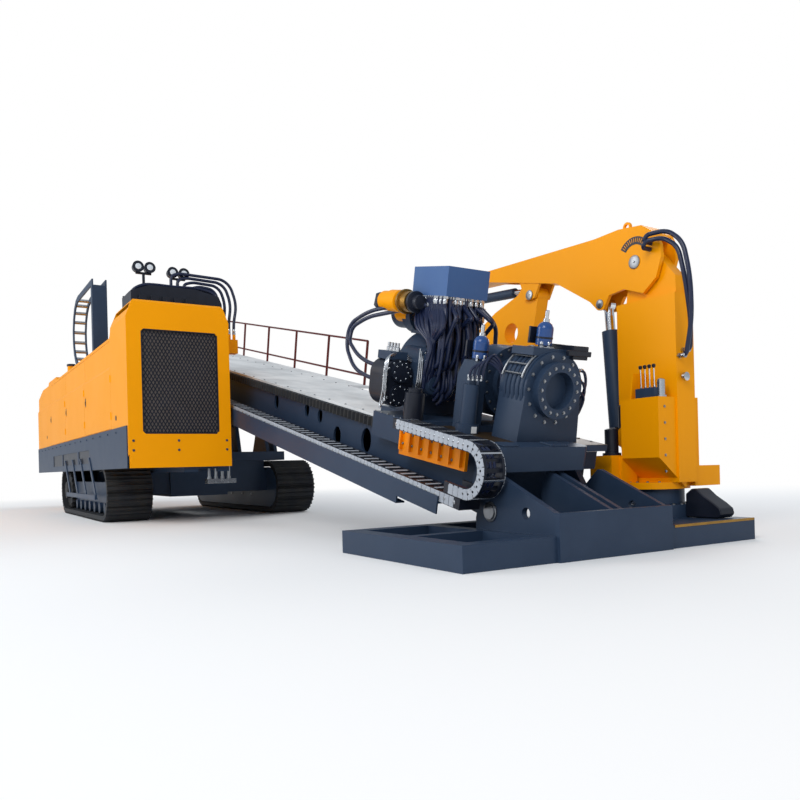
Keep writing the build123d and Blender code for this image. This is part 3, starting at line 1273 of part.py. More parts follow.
# Boom: side plates round the column's head, closed by top and bottom plates ahead of it.
BOOM_OUTLINE = [
    (2150, 2960),
    (2150, 2850),
    (2820, 2800),
    (3912, 2548),
    (4376, 2262),
    (4470, 2165),
    (4545, 2160),
    (4620, 2280),
    (4800, 2300),
    (5020, 2215),
    (5170, 2330),
    (5230, 2500),
    (5225, 2610),
    (5173, 2725),
    (5020, 2835),
    (4751, 2868),
    (4449, 2858),
]
BOOM_HOLLOW_END = 4360.0
boom_near = CRANE_Y - COLUMN_WIDTH / 2
boom_far = CRANE_Y + COLUMN_WIDTH / 2
with BuildPart() as boom:
    across(MACHINE, boom_near, boom_far, BOOM_OUTLINE)
    slot = [(BOOM_HOLLOW_END, 2000), (5300, 2000), (5300, 2700), (4700, 2700), (4500, 2560),
            (BOOM_HOLLOW_END, 2400)]
    across(MACHINE, boom_near + BOOM_PLATE, boom_far - BOOM_PLATE, slot, Mode.SUBTRACT)
    eye_slot = [(3040, 2400), (3040, 2800), (3500, 2790), (3700, 2740), (3700, 2400)]
    across(MACHINE, boom_near + BOOM_PLATE, boom_far - BOOM_PLATE, eye_slot, Mode.SUBTRACT)
    for turn in (-1, 1):
        near, far = sorted((CRANE_Y + turn * 82, CRANE_Y + turn * 112))
        across(
            MACHINE,
            near,
            far,
            [(3340, 2690), (3420, 2470), (3570, 2470), (3660, 2620)],
        )
        foot_near, foot_far = sorted((CRANE_Y + turn * 55, CRANE_Y + turn * 90))
        across(
            MACHINE,
            foot_near,
            foot_far,
            [(2160, 2865), (2150, 2660), (2190, 2635), (2270, 2635), (2305, 2680), (2305, 2855)],
        )
    pin(MACHINE, CRANE_Y - 55, CRANE_Y + 55, JIB_FOOT, CRANE_PIN_RADIUS)
    pin(MACHINE, CRANE_Y - 82, CRANE_Y + 82, JIB_PIN, CRANE_PIN_RADIUS)
    pin(MACHINE, CRANE_Y - HEAD_WIDTH / 2 - 15, CRANE_Y + HEAD_WIDTH / 2 + 15, BOOM_PIN, 45)
    with BuildSketch(side_plane(MACHINE, CRANE_Y + 12)) as eye:
        with Locations((4760, 2905)):
            Circle(46)
            Circle(26, mode=Mode.SUBTRACT)
    extrude(eye.sketch, amount=24)

with BuildPart() as crane_head_bore:
    pin(MACHINE, CRANE_Y - HEAD_WIDTH, CRANE_Y + HEAD_WIDTH, BOOM_PIN, 45 + PIN_CLEARANCE)
with BuildPart() as crane_column_bored:
    add(crane_column.part)
    add(crane_head_bore.part, mode=Mode.SUBTRACT)

boom_lift_barrel = cylinder_barrel(MACHINE, (CRANE_Y,), LIFT_FOOT, LIFT_EYE, 84, 46, 0.80, CRANE_PIN_RADIUS, 66)
boom_lift_rod = cylinder_rod(MACHINE, (CRANE_Y,), LIFT_FOOT, LIFT_EYE, 46, 760, 32, 66)
jib_barrel = cylinder_barrel(
    MACHINE,
    (CRANE_Y,),
    JIB_FOOT,
    JIB_EYE,
    JIB_BARREL_RADIUS,
    JIB_ROD_RADIUS,
    0.78,
    CRANE_PIN_RADIUS,
    66,
)
jib_rod = cylinder_rod(MACHINE, (CRANE_Y,), JIB_FOOT, JIB_EYE, JIB_ROD_RADIUS, 620, 30, 66)

# Jib: an arm of two side plates round its cylinder, solid below, that ends in the pipe gripper.
JIB_OUTLINE = [
    (3430, 2650),
    (3350, 2645),
    (3260, 2560),
    (2860, 2440),
    (2470, 2250),
    (2400, 2090),
    (2380, 1980),
    (2330, 1880),
    (2560, 1850),
    (2860, 1860),
    (2900, 1700),
    (3070, 1820),
    (3260, 1640),
    (3380, 1740),
    (3470, 1760),
    (3500, 2127),
    (3591, 2494),
]
JIB_POCKET = [
    (2300, 1965),
    (3200, 2420),
    (3470, 2530),
    (3500, 2720),
    (3150, 2720),
    (2300, 2400),
]
JAW_PIN = (2620.0, 1950.0)
JIB_THICKNESS = 150.0
with BuildPart() as jib:
    across(MACHINE, CRANE_Y - JIB_THICKNESS / 2, CRANE_Y + JIB_THICKNESS / 2, JIB_OUTLINE)
    pin(MACHINE, CRANE_Y - JIB_THICKNESS / 2, CRANE_Y + JIB_THICKNESS / 2, JIB_PIN, 100)
    pin(MACHINE, CRANE_Y - JIB_THICKNESS, CRANE_Y + JIB_THICKNESS, (3134, 2163), 112, Mode.SUBTRACT)
    for centre in (JIB_PIN, JAW_PIN):
        pin(MACHINE, CRANE_Y - JIB_THICKNESS, CRANE_Y + JIB_THICKNESS, centre, CRANE_PIN_RADIUS + PIN_CLEARANCE,
            Mode.SUBTRACT)
    across(MACHINE, CRANE_Y - JIB_POCKET_HALF, CRANE_Y + JIB_POCKET_HALF, JIB_POCKET, Mode.SUBTRACT)

with BuildPart() as gripper_jaw:
    for turn in (-1, 1):
        inner = JIB_THICKNESS / 2 + 6
        near, far = sorted((CRANE_Y + turn * inner, CRANE_Y + turn * (inner + 40)))
        across(
            MACHINE,
            near,
            far,
            [(2540, 2030), (2690, 2030), (2760, 1880), (2850, 1860), (2770, 1790), (2960, 1640), (2900, 1560),
             (2640, 1640), (2330, 1740), (2400, 1920)],
        )
    block(MACHINE, (2580, 2680), (CRANE_Y - inner, CRANE_Y + inner), (1690, 1770))
    pin(MACHINE, CRANE_Y - inner, CRANE_Y + inner, JAW_PIN, CRANE_PIN_RADIUS)

# Crane hoses from the column's front face up to the boom's root.
CRANE_HOSE_RADIUS = 20.0
with BuildPart() as crane_hoses:
    for step in range(2):
        start_y = boom_near + 30 + 55 * step
        shift = 52 * step
        side_y = boom_near - CRANE_HOSE_RADIUS - 18
        hose(
            MACHINE,
            [
                (COLUMN_FRONT_X, start_y, 1600 + shift),
                (COLUMN_FRONT_X + 80, start_y, 1600 + shift),
                (5520 - shift, start_y - 15, 1900),
                (5540 - shift, side_y + 20, 2250),
                (5490 - shift, side_y, 2560 - shift / 2),
                (5330 - shift, side_y, 2700 - shift),
                (5170 - shift / 4, side_y - 70, 2690 - shift),
                (5130 - shift / 4, boom_near - 105, 2640 - shift),
                (5130 - shift / 4, boom_near - 6, 2640 - shift),
            ],
            CRANE_HOSE_RADIUS,
        )

PIECES = {
    "crawler_belt_near": belt_near,
    "crawler_belt_far": belt_far,
    "crawler_frames": crawler_frames,
    "drive_sprocket_near": sprocket_near,
    "drive_sprocket_far": sprocket_far,
    "chassis_frame": chassis_frame,
    "frame_lift_barrels": frame_lift_barrels,
    "frame_lift_rods": frame_lift_rods,
    "engine_house": engine_house,
    "lower_band": lower_band,
    "radiator_grille": radiator_grille,
    "engine": engine,
    "door_front": door_front,
    "door_middle": door_middle,
    "door_rear": door_rear,
    "hose_gantry": hose_gantry,
    "roof_chain": roof_chain,
    "gantry_hoses": gantry_hoses,
    "main_girder": main_girder,
    "deck_plates": deck_plates,
    "feed_rack": feed_rack,
    "chain_lower_run": chain_lower_run,
    "railing": railing,
    "carriage": carriage,
    "chain_bracket": chain_bracket,
    "gearbox": gearbox,
    "drive_motors": drive_motors,
    "valve_box": valve_box,
    "head_hoses": head_hoses,
    "chain_loop": chain_loop,
    "spindle": spindle,
    "vise_base": vise_base,
    "front_vise": front_vise,
    "rotary_vise": rotary_vise,
    "accumulators": accumulators,
    "anchor_base": anchor_base,
    "crane_column": crane_column_bored,
    "boom": boom,
    "boom_lift_barrel": boom_lift_barrel,
    "boom_lift_rod": boom_lift_rod,
    "jib": jib,
    "jib_barrel": jib_barrel,
    "jib_rod": jib_rod,
    "gripper_jaw": gripper_jaw,
    "crane_hoses": crane_hoses,
}

os.makedirs("parts", exist_ok=True)
for label, piece in PIECES.items():
    piece.part.label = label
    export_step(piece.part, f"parts/{label}.step")
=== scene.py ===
"""Looks of the crawler-mounted horizontal directional drill: finishes, small hardware, light and camera.

Detail is laid out in millimetres, in the machine's own coordinates or in the drill frame's, and
turned into metres of the model's frame where each mesh is built. The machine's coordinates start
on the ground below the engine house's front face, midway between the crawlers. The drill frame's
are u along the frame, v across it and w square to its deck.
"""

import json
import logging
import math
from collections.abc import Iterable
from dataclasses import dataclass, field
from enum import Enum

import bpy
import numpy as np
from mathutils import Matrix, Vector


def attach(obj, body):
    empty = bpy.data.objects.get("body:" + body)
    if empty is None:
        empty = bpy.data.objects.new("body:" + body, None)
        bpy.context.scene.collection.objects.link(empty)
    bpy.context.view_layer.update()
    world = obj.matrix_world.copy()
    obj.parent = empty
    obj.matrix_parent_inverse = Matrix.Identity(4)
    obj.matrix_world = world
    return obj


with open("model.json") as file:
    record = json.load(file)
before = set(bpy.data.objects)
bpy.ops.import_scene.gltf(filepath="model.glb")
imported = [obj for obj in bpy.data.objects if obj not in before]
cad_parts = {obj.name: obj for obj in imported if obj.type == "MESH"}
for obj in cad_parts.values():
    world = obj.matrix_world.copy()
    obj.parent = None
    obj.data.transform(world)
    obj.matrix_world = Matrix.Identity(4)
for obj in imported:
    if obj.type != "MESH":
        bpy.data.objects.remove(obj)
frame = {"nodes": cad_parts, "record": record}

LOG = logging.getLogger("drill_looks")
MM = 0.001
SEED = 20

Pair = tuple[float, float]
Point = tuple[float, float, float]
Outline = tuple[Pair, ...]
Route = tuple[Point, ...]
Inputs = dict[str | int, object]

FORWARD: Point = (1, 0, 0)
BACKWARD: Point = (-1, 0, 0)
UP: Point = (0, 0, 1)
DOWN: Point = (0, 0, -1)
TO_NEAR: Point = (0, -1, 0)
TO_FAR: Point = (0, 1, 0)


class Body(str, Enum):
    """The moving bodies that detail rides on."""

    CHASSIS = "chassis"
    FRONT_DOOR = "front_door"
    MIDDLE_DOOR = "middle_door"
    REAR_DOOR = "rear_door"
    DRILL_FRAME = "drill_frame"
    POWER_HEAD = "power_head"
    SPINDLE = "spindle"
    VISE_SLIDE = "vise_slide"
    ROTARY_VISE = "rotary_vise"
    ANCHOR = "anchor"
    CRANE = "crane"
    BOOM = "boom"
    JIB = "jib"
    JAW = "gripper_jaw"


@dataclass(frozen=True)
class Axes:
    """Right-handed axes that detail is laid out in, with their origin in millimetres."""

    origin: Point
    rows: tuple[Point, Point, Point]

    def metres(self, points: np.ndarray) -> np.ndarray:
        """Turn points of these axes into metres of the model's frame.

        Args:
            points: coordinates in millimetres, one point a row.

        Returns:
            The same points in metres.
        """
        return (np.asarray(self.origin) + np.asarray(points, float) @ np.asarray(self.rows)) * MM


LEAN = math.radians(12.72)
HOUSE_FRONT = (1635.0, -368.0, 0.0)
MAST_FOOT_X = 5000.0
MAST_FOOT_Z = 700.0
MACHINE = Axes(HOUSE_FRONT, ((1, 0, 0), (0, 1, 0), (0, 0, 1)))
MAST = Axes(
    (HOUSE_FRONT[0] + MAST_FOOT_X, HOUSE_FRONT[1], MAST_FOOT_Z),
    ((math.cos(LEAN), 0, -math.sin(LEAN)), (0, 1, 0), (math.sin(LEAN), 0, math.cos(LEAN))),
)

WHITE = (1, 1, 1, 1)

# Finishes


def linear(hex_colour: str) -> tuple[float, float, float, float]:
    """Linear colour of an sRGB hex string.

    Args:
        hex_colour: six hex digits.

    Returns:
        Red, green, blue and alpha for a shader socket.
    """
    channels = [int(hex_colour[i : i + 2], 16) / 255 for i in (0, 2, 4)]
    curve = [c / 12.92 if c <= 0.04045 else ((c + 0.055) / 1.055) ** 2.4 for c in channels]
    return (*curve, 1.0)


@dataclass(frozen=True)
class Finish:
    """A real surface finish, as the numbers its shader needs."""

    name: str
    colour: str
    roughness: float
    wear_colour: str = ""
    wear: float = 0.0
    grain_mm: float = 180.0
    metallic: float = 0.0
    coat: float = 0.0
    sheen: float = 0.15
    bump: float = 0.0
    bump_mm: float = 4.0


# Signal yellow two-pack paint on the house, crane column and boom
YELLOW = Finish("signal_yellow_paint", "F29C00", 0.38, "E89300", 0.3, 900.0, coat=0.02, sheen=0.1)
# Orange-yellow paint on the jaw and the chain bracket
ORANGE = Finish("orange_paint", "F08A00", 0.4, "B85A00", 0.4, 300.0, coat=0.04)
# Dark slate-blue paint of chassis, drill frame, vises and anchor
SLATE = Finish("slate_blue_paint", "28384E", 0.42, "35445A", 0.6, 500.0, coat=0.03, sheen=0.22)
# Lighter blue paint of the valve box
BOX_BLUE = Finish("slate_box_paint", "3F6090", 0.42, "34538A", 0.4, 400.0, coat=0.03, sheen=0.2)
# Cast track shoes with dust
TRACK = Finish("track_steel", "34363A", 0.62, "4A4844", 0.7, 160.0, metallic=0.55, bump=0.25)
# Black paint on grille, motors and gantry
BLACK = Finish("black_paint", "131824", 0.36, "232938", 0.5, 240.0, coat=0.03, sheen=0.3)
# Unpainted cast iron of the engine
CAST = Finish("cast_iron_grey", "4B4D50", 0.7, "3A3B3D", 0.5, metallic=0.4, bump=0.3)
# Moulded drag-chain plastic
CHAIN_GREY = Finish("grey_plastic", "A9AFB8", 0.5, "8E949D", 0.5, 120.0)
# Hydraulic hose rubber with a blue-black sheen
HOSE = Finish("hose_rubber", "141E3A", 0.32, "202C4C", 0.4, 90.0, coat=0.05, sheen=0.4)
# Hard chrome of cylinder rods
CHROME = Finish("chrome_rod", "D9DCE0", 0.12, metallic=1.0)
# White non-slip deck paint, scuffed
DECK = Finish("white_deck", "DADCDD", 0.62, "9EA3A6", 0.75, 700.0, bump=0.2)
# Dark red paint of the railing
RED = Finish("red_paint", "5B1F1C", 0.45, "44201E", 0.5, coat=0.1)
# Turned and ground steel
STEEL = Finish("bare_steel", "9A9DA1", 0.3, "7A7C80", 0.4, metallic=1.0)
# Oiled, bronze-brown wear plate
BRONZE = Finish("bronze_plate", "4A3B2A", 0.45, "2C2A2A", 0.8, 260.0, metallic=0.5)
# Gloss blue paint of the accumulator bottles
BOTTLE = Finish("accumulator_blue", "24477F", 0.22, coat=0.5)
# Zinc-plated hose fittings and bolts
ZINC = Finish("zinc_fitting", "C3C7CC", 0.25, "9DA1A6", 0.4, 40.0, metallic=1.0)
# Brass of edge strips and of the rear motor's flange
BRASS = Finish("brass_strip", "A8803C", 0.35, "6E5630", 0.6, metallic=0.9)
# Radiator fins behind the mesh, pale with dust
CORE = Finish("radiator_core_fins", "6B625C", 0.6, "574F4A", 0.7, 70.0)
# Blank white tag
TAG = Finish("white_tag", "ECEDEE", 0.5)
# Lamp lens
LENS = Finish("lamp_lens", "DDE3E8", 0.08, metallic=0.2, coat=0.8)

FINISHES = (
    YELLOW, ORANGE, SLATE, BOX_BLUE, TRACK, BLACK, CAST, CHAIN_GREY, HOSE, CHROME, DECK, RED, STEEL,
    BRONZE, BOTTLE, ZINC, BRASS, CORE, TAG, LENS,
)


def feed(tree: bpy.types.NodeTree, target: bpy.types.Node, inputs: Inputs) -> bpy.types.Node:
    """Give a node's inputs their values, or the outputs that feed them.

    Args:
        tree: the node tree.
        target: the node.
        inputs: a value or another node's output, by the input's name or number.

    Returns:
        The same node.
    """
    for key, given in inputs.items():
        if isinstance(given, bpy.types.NodeSocket):
            tree.links.new(given, target.inputs[key])
        else:
            target.inputs[key].default_value = given
    return target


def node(tree: bpy.types.NodeTree, kind: str, inputs: Inputs) -> bpy.types.Node:
    """Add a node to a tree and feed its inputs."""
    return feed(tree, tree.nodes.new(kind), inputs)


def placed(name: str, data: bpy.types.ID) -> bpy.types.Object:
    """Link a new object with the given data into the scene.

    Args:
        name: the object's name.
        data: its mesh, light or camera.

    Returns:
        The object.
    """
    thing = bpy.data.objects.new(name, data)
    bpy.context.scene.collection.objects.link(thing)
    return thing


@dataclass
class Paintbox:
    """Makes each finish's node material once and hands it out."""

    coat_roughness: float = 0.18
    patch_detail: float = 6.0
    patch_roughness: float = 0.62
    wear_from: float = 0.42
    wear_to: float = 0.78
    gloss_spread: Pair = (0.85, 1.25)
    relief_m: float = 0.002
    made: dict[str, bpy.types.Material] = field(default_factory=dict)

    def get(self, finish: Finish) -> bpy.types.Material:
        """Return the material of a finish.

        Args:
            finish: the finish wanted.

        Returns:
            Its node material.
        """
        if finish.name not in self.made:
            self.made[finish.name] = self.mix(finish)
        return self.made[finish.name]

    def mix(self, finish: Finish) -> bpy.types.Material:
        """Build a finish's node material.

        Args:
            finish: the finish to build.

        Returns:
            A material with worn patches, where the finish has wear, and with relief.
        """
        material = bpy.data.materials.new(finish.name)
        material.use_nodes = True
        tree = material.node_tree
        paint = {
            "Base Color": linear(finish.colour),
            "Roughness": finish.roughness,
            "Metallic": finish.metallic,
            "Coat Weight": finish.coat,
            "Coat Roughness": self.coat_roughness,
            "Specular IOR Level": finish.sheen,
        }
        shader = feed(tree, tree.nodes["Principled BSDF"], paint)
        if not finish.wear:
            return material
        place = tree.nodes.new("ShaderNodeTexCoord").outputs["Object"]
        grain = {
            "Scale": 1 / (finish.grain_mm * MM),
            "Detail": self.patch_detail,
            "Roughness": self.patch_roughness,
            "Vector": place,
        }
        patches = node(tree, "ShaderNodeTexNoise", grain).outputs["Fac"]
        ramp = node(tree, "ShaderNodeValToRGB", {"Fac": patches})
        bare, worn = ramp.color_ramp.elements
        bare.position, worn.position = self.wear_from, self.wear_to
        worn.color = (finish.wear,) * 3 + (1.0,)
        blend = tree.nodes.new("ShaderNodeMix")
        blend.data_type = "RGBA"
        feed(tree, blend, {"A": linear(finish.colour), "B": linear(finish.wear_colour)})
        feed(tree, blend, {"Factor": ramp.outputs["Color"]})
        dull, shiny = (min(1.0, finish.roughness * share) for share in self.gloss_spread)
        gloss = node(tree, "ShaderNodeMapRange", {"To Min": dull, "To Max": shiny, "Value": patches})
        feed(tree, shader, {"Base Color": blend.outputs["Result"], "Roughness": gloss.outputs["Result"]})
        if finish.bump:
            grit = node(tree, "ShaderNodeTexNoise", {"Scale": 1 / (finish.bump_mm * MM), "Vector": place})
            height = {"Strength": finish.bump, "Distance": self.relief_m, "Height": grit.outputs["Fac"]}
            feed(tree, shader, {"Normal": node(tree, "ShaderNodeBump", height).outputs["Normal"]})
        return material


PAINTS = Paintbox()

# Shapes: each returns its vertices in millimetres and its faces.


@dataclass
class Shape:
    """A closed mesh in the millimetres of some axes."""

    points: np.ndarray
    faces: list[tuple[int, ...]]


def on_circle(centre: Pair, radius: float, turn: float | np.ndarray) -> np.ndarray:
    """Centre plus radius times the cosine and sine of one angle, or of each of an array."""
    return np.stack((centre[0] + radius * np.cos(turn), centre[1] + radius * np.sin(turn)), axis=-1)


def full_turn(count: int) -> np.ndarray:
    """Evenly spaced angles of a whole turn."""
    return np.linspace(0, 2 * math.pi, count, endpoint=False)


def ring_mesh(rings: np.ndarray) -> Shape:
    """Skin over rings of points, each closed on itself, capped at both ends.

    Each quad joins a point, the next one round its ring, and the same two on the ring after.

    Args:
        rings: coordinates by ring, point and axis.

    Returns:
        The closed shape.
    """
    rows, columns = rings.shape[:2]
    row, column = np.meshgrid(np.arange(rows - 1), np.arange(columns), indexing="ij")
    after = (column + 1) % columns
    here, above = row * columns, (row + 1) * columns
    corners = (here + column, here + after, above + after, above + column)
    faces = [tuple(quad) for quad in np.stack(corners, axis=-1).reshape(-1, 4).tolist()]
    last = (rows - 1) * columns
    faces.append(tuple(range(columns))[::-1])
    faces.append(tuple(range(last, last + columns)))
    return Shape(rings.reshape(-1, 3), faces)


def turned(start: Point, direction: Point, profile: Outline, sides: int = 24) -> Shape:
    """Surface of revolution, capped at both ends.

    A point is the start, plus its height along the axis, plus its radius times the cosine and the
    sine of its angle along two directions square to the axis.

    Args:
        start: where the axis begins.
        direction: the way the axis runs.
        profile: (distance along the axis, radius) of each ring.
        sides: points round each ring; 6 gives a hexagon.

    Returns:
        The turned shape.
    """
    heights, radii = np.asarray(profile, float).T
    along = np.asarray(direction, float)
    along = along / np.linalg.norm(along)
    helper = np.array(UP, float) if abs(along[2]) < 0.9 else np.array(FORWARD, float)
    first = np.cross(helper, along)
    first /= np.linalg.norm(first)
    second = np.cross(along, first)
    angles = full_turn(sides)
    ring = np.cos(angles)[:, None] * first + np.sin(angles)[:, None] * second
    return ring_mesh(np.asarray(start, float) + heights[:, None, None] * along + radii[:, None, None] * ring)


def box(low: Point, high: Point) -> Shape:
    """Box between two corners.

    A vertex is the low corner plus none or all of the difference on each axis.

    Args:
        low: the corner with the lowest coordinates.
        high: the corner with the highest.

    Returns:
        The box.
    """
    steps = np.array([[i, j, k] for i in (0, 1) for j in (0, 1) for k in (0, 1)], float)
    points = np.asarray(low) + steps * (np.asarray(high, float) - np.asarray(low, float))
    faces = [(0, 1, 3, 2), (4, 6, 7, 5), (0, 4, 5, 1), (2, 3, 7, 6), (0, 2, 6, 4), (1, 5, 7, 3)]
    return Shape(points, faces)


def plate(outline: Outline | np.ndarray, near: float, far: float, across: int = 1) -> Shape:
    """Flat plate with a straight-sided outline: the outline at two coordinates of the third axis.

    Args:
        outline: its corners in the two axes that aren't the thickness.
        near: the lower face's coordinate.
        far: the upper face's coordinate.
        across: which axis is the thickness: 0, 1 or 2.

    Returns:
        The plate.
    """
    flat = np.asarray(outline, float)
    return ring_mesh(np.stack([np.insert(flat, across, near, axis=1), np.insert(flat, across, far, axis=1)]))


def pipe(route: np.ndarray, radius: float, sides: int = 10) -> Shape:
    """Round pipe along a route.

    A point is the centre line's, plus the radius times the cosine and the sine of its angle along
    two directions square to the line's gradient there.

    Args:
        route: points of its centre line.
        radius: the pipe's radius.
        sides: points round it.

    Returns:
        The pipe, capped at both ends.
    """
    centre = np.asarray(route, float)
    heading = np.gradient(centre, axis=0)
    heading /= np.linalg.norm(heading, axis=1)[:, None]
    steep = abs(heading[:, 2]).mean() >= 0.75
    first = np.cross(np.array([1.0, 0.03, 0.02] if steep else [0.02, 0.03, 1.0]), heading)
    first /= np.linalg.norm(first, axis=1)[:, None]
    second = np.cross(heading, first)
    angles = full_turn(sides)[None, :, None]
    ring = np.cos(angles) * first[:, None, :] + np.sin(angles) * second[:, None, :]
    return ring_mesh(centre[:, None, :] + radius * ring)


def curve_points(corners: Route, steps: int = 24) -> np.ndarray:
    """Smooth route through its control points.

    Between b and c, with a before and d after them, a point at share s is half of
    2b + (c - a)s + (2a - 5b + 4c - d)s^2 + (3b - a - 3c + d)s^3.

    Args:
        corners: control points.
        steps: points along each stretch between two of them.

    Returns:
        The route's points.
    """
    control = np.asarray(corners, float)
    padded = np.vstack([2 * control[0] - control[1], control, 2 * control[-1] - control[-2]])
    share = np.linspace(0, 1, steps, endpoint=False)[:, None]
    stretches = []
    for a, b, c, d in zip(padded, padded[1:], padded[2:], padded[3:]):
        square = (2 * a - 5 * b + 4 * c - d) * share**2
        cube = (3 * b - a - 3 * c + d) * share**3
        stretches.append(0.5 * (2 * b + (c - a) * share + square + cube))
    return np.vstack(stretches + [control[-1:]])


def bolt(at: Point, direction: Point, size: float = 12.0) -> list[Shape]:
    """Hexagon bolt head on its washer.

    Args:
        at: the point on the surface.
        direction: the way the head stands out.
        size: the head's radius.

    Returns:
        The washer and the head.
    """
    washer = turned(at, direction, ((-1, size * 1.25), (size * 0.2, size * 1.25)), 14)
    head = turned(at, direction, ((0, size), (size * 0.75, size), (size * 0.9, size * 0.8)), 6)
    return [washer, head]


def bolts(places: Iterable[Point], direction: Point, size: float = 12.0) -> list[Shape]:
    """Bolts at several points, all standing out the same way.

    Args:
        places: the points on the surface.
        direction: the way the heads stand out.
        size: a head's radius.

    Returns:
        The bolts' shapes.
    """
    return [shape for at in places for shape in bolt(at, direction, size)]


def bolt_ring(
    centre: Point, radius: float, count: int, size: float = 12.0, start: float = 0.0
) -> list[Shape]:
    """Bolts on a circle that faces forward.

    Args:
        centre: the circle's middle, on the face.
        radius: the circle's radius.
        count: how many bolts.
        size: a head's radius.
        start: the first bolt's angle.

    Returns:
        The bolts' shapes.
    """
    places = on_circle(centre[1:], radius, full_turn(count) + start)
    return bolts(np.insert(places, 0, centre[0], axis=1), FORWARD, size)


def fitting(at: Point, direction: Point, radius: float) -> list[Shape]:
    """Hose end with a hexagon nut, a collar and a crimped ferrule.

    Args:
        at: the point on the surface.
        direction: the way the hose leaves it.
        radius: the hose's radius.

    Returns:
        The nut and the ferrule.
    """
    nut = ((-2, radius * 1.25), (radius * 1.1, radius * 1.25))
    ferrule = (
        (radius * 1.1, radius * 0.85), (radius * 1.5, radius * 1.12), (radius * 3.4, radius * 1.12),
        (radius * 3.6, radius * 0.98),
    )
    return [turned(at, direction, nut, 6), turned(at, direction, ferrule, 14)]


@dataclass
class Kit:
    """Small hardware of one finish on one body, joined into one mesh."""

    name: str
    finish: Finish
    body: Body
    axes: Axes
    smooth: bool = True
    bevel_mm: float = 0.0
    crease_deg: float = 35.0
    batches: list[tuple[np.ndarray, list[tuple[int, ...]]]] = field(default_factory=list)

    def add(self, *shapes: Shape) -> "Kit":
        """Args:
            shapes: what to add.

        Returns:
            This kit, so that calls can follow each other.
        """
        for shape in shapes:
            self.batches.append((self.axes.metres(shape.points), shape.faces))
        return self

    def build(self) -> None:
        """Join everything added into one object that rides on its body."""
        starts = np.cumsum([0] + [len(points) for points, _ in self.batches])
        points = np.vstack([points for points, _ in self.batches])
        faces = [
            tuple(index + int(start) for index in face)
            for start, (_, batch) in zip(starts, self.batches)
            for face in batch
        ]
        mesh = bpy.data.meshes.new(self.name)
        mesh.from_pydata(points.tolist(), [], faces)
        mesh.update()
        mesh.materials.append(PAINTS.get(self.finish))
        thing = placed(self.name, mesh)
        if self.smooth:
            mesh.polygons.foreach_set("use_smooth", [True] * len(mesh.polygons))
            mesh.set_sharp_from_angle(angle=math.radians(self.crease_deg))
        if self.bevel_mm:
            edge = thing.modifiers.new("edge_break", "BEVEL")
            edge.width = self.bevel_mm * MM
            edge.segments = 2
            edge.limit_method = "ANGLE"
            edge.harden_normals = True
        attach(thing, self.body.value)
        LOG.info("%s: %d faces on %s", self.name, len(faces), self.body.value)


@dataclass
class Assembly:
    """A sub-assembly whose hardware rides on one body, where a kit doesn't name another."""

    body: Body
    axes: Axes

    def kit(self, name: str, finish: Finish, bevel_mm: float = 0.0, body: Body | None = None) -> Kit:
        """Open a kit of turned or bent pieces, shaded smooth."""
        return Kit(name, finish, body or self.body, self.axes, True, bevel_mm)

    def blocks(self, name: str, finish: Finish, bevel_mm: float = 0.0, body: Body | None = None) -> Kit:
        """Open a kit of plates and blocks, shaded flat."""
        return Kit(name, finish, body or self.body, self.axes, False, bevel_mm)


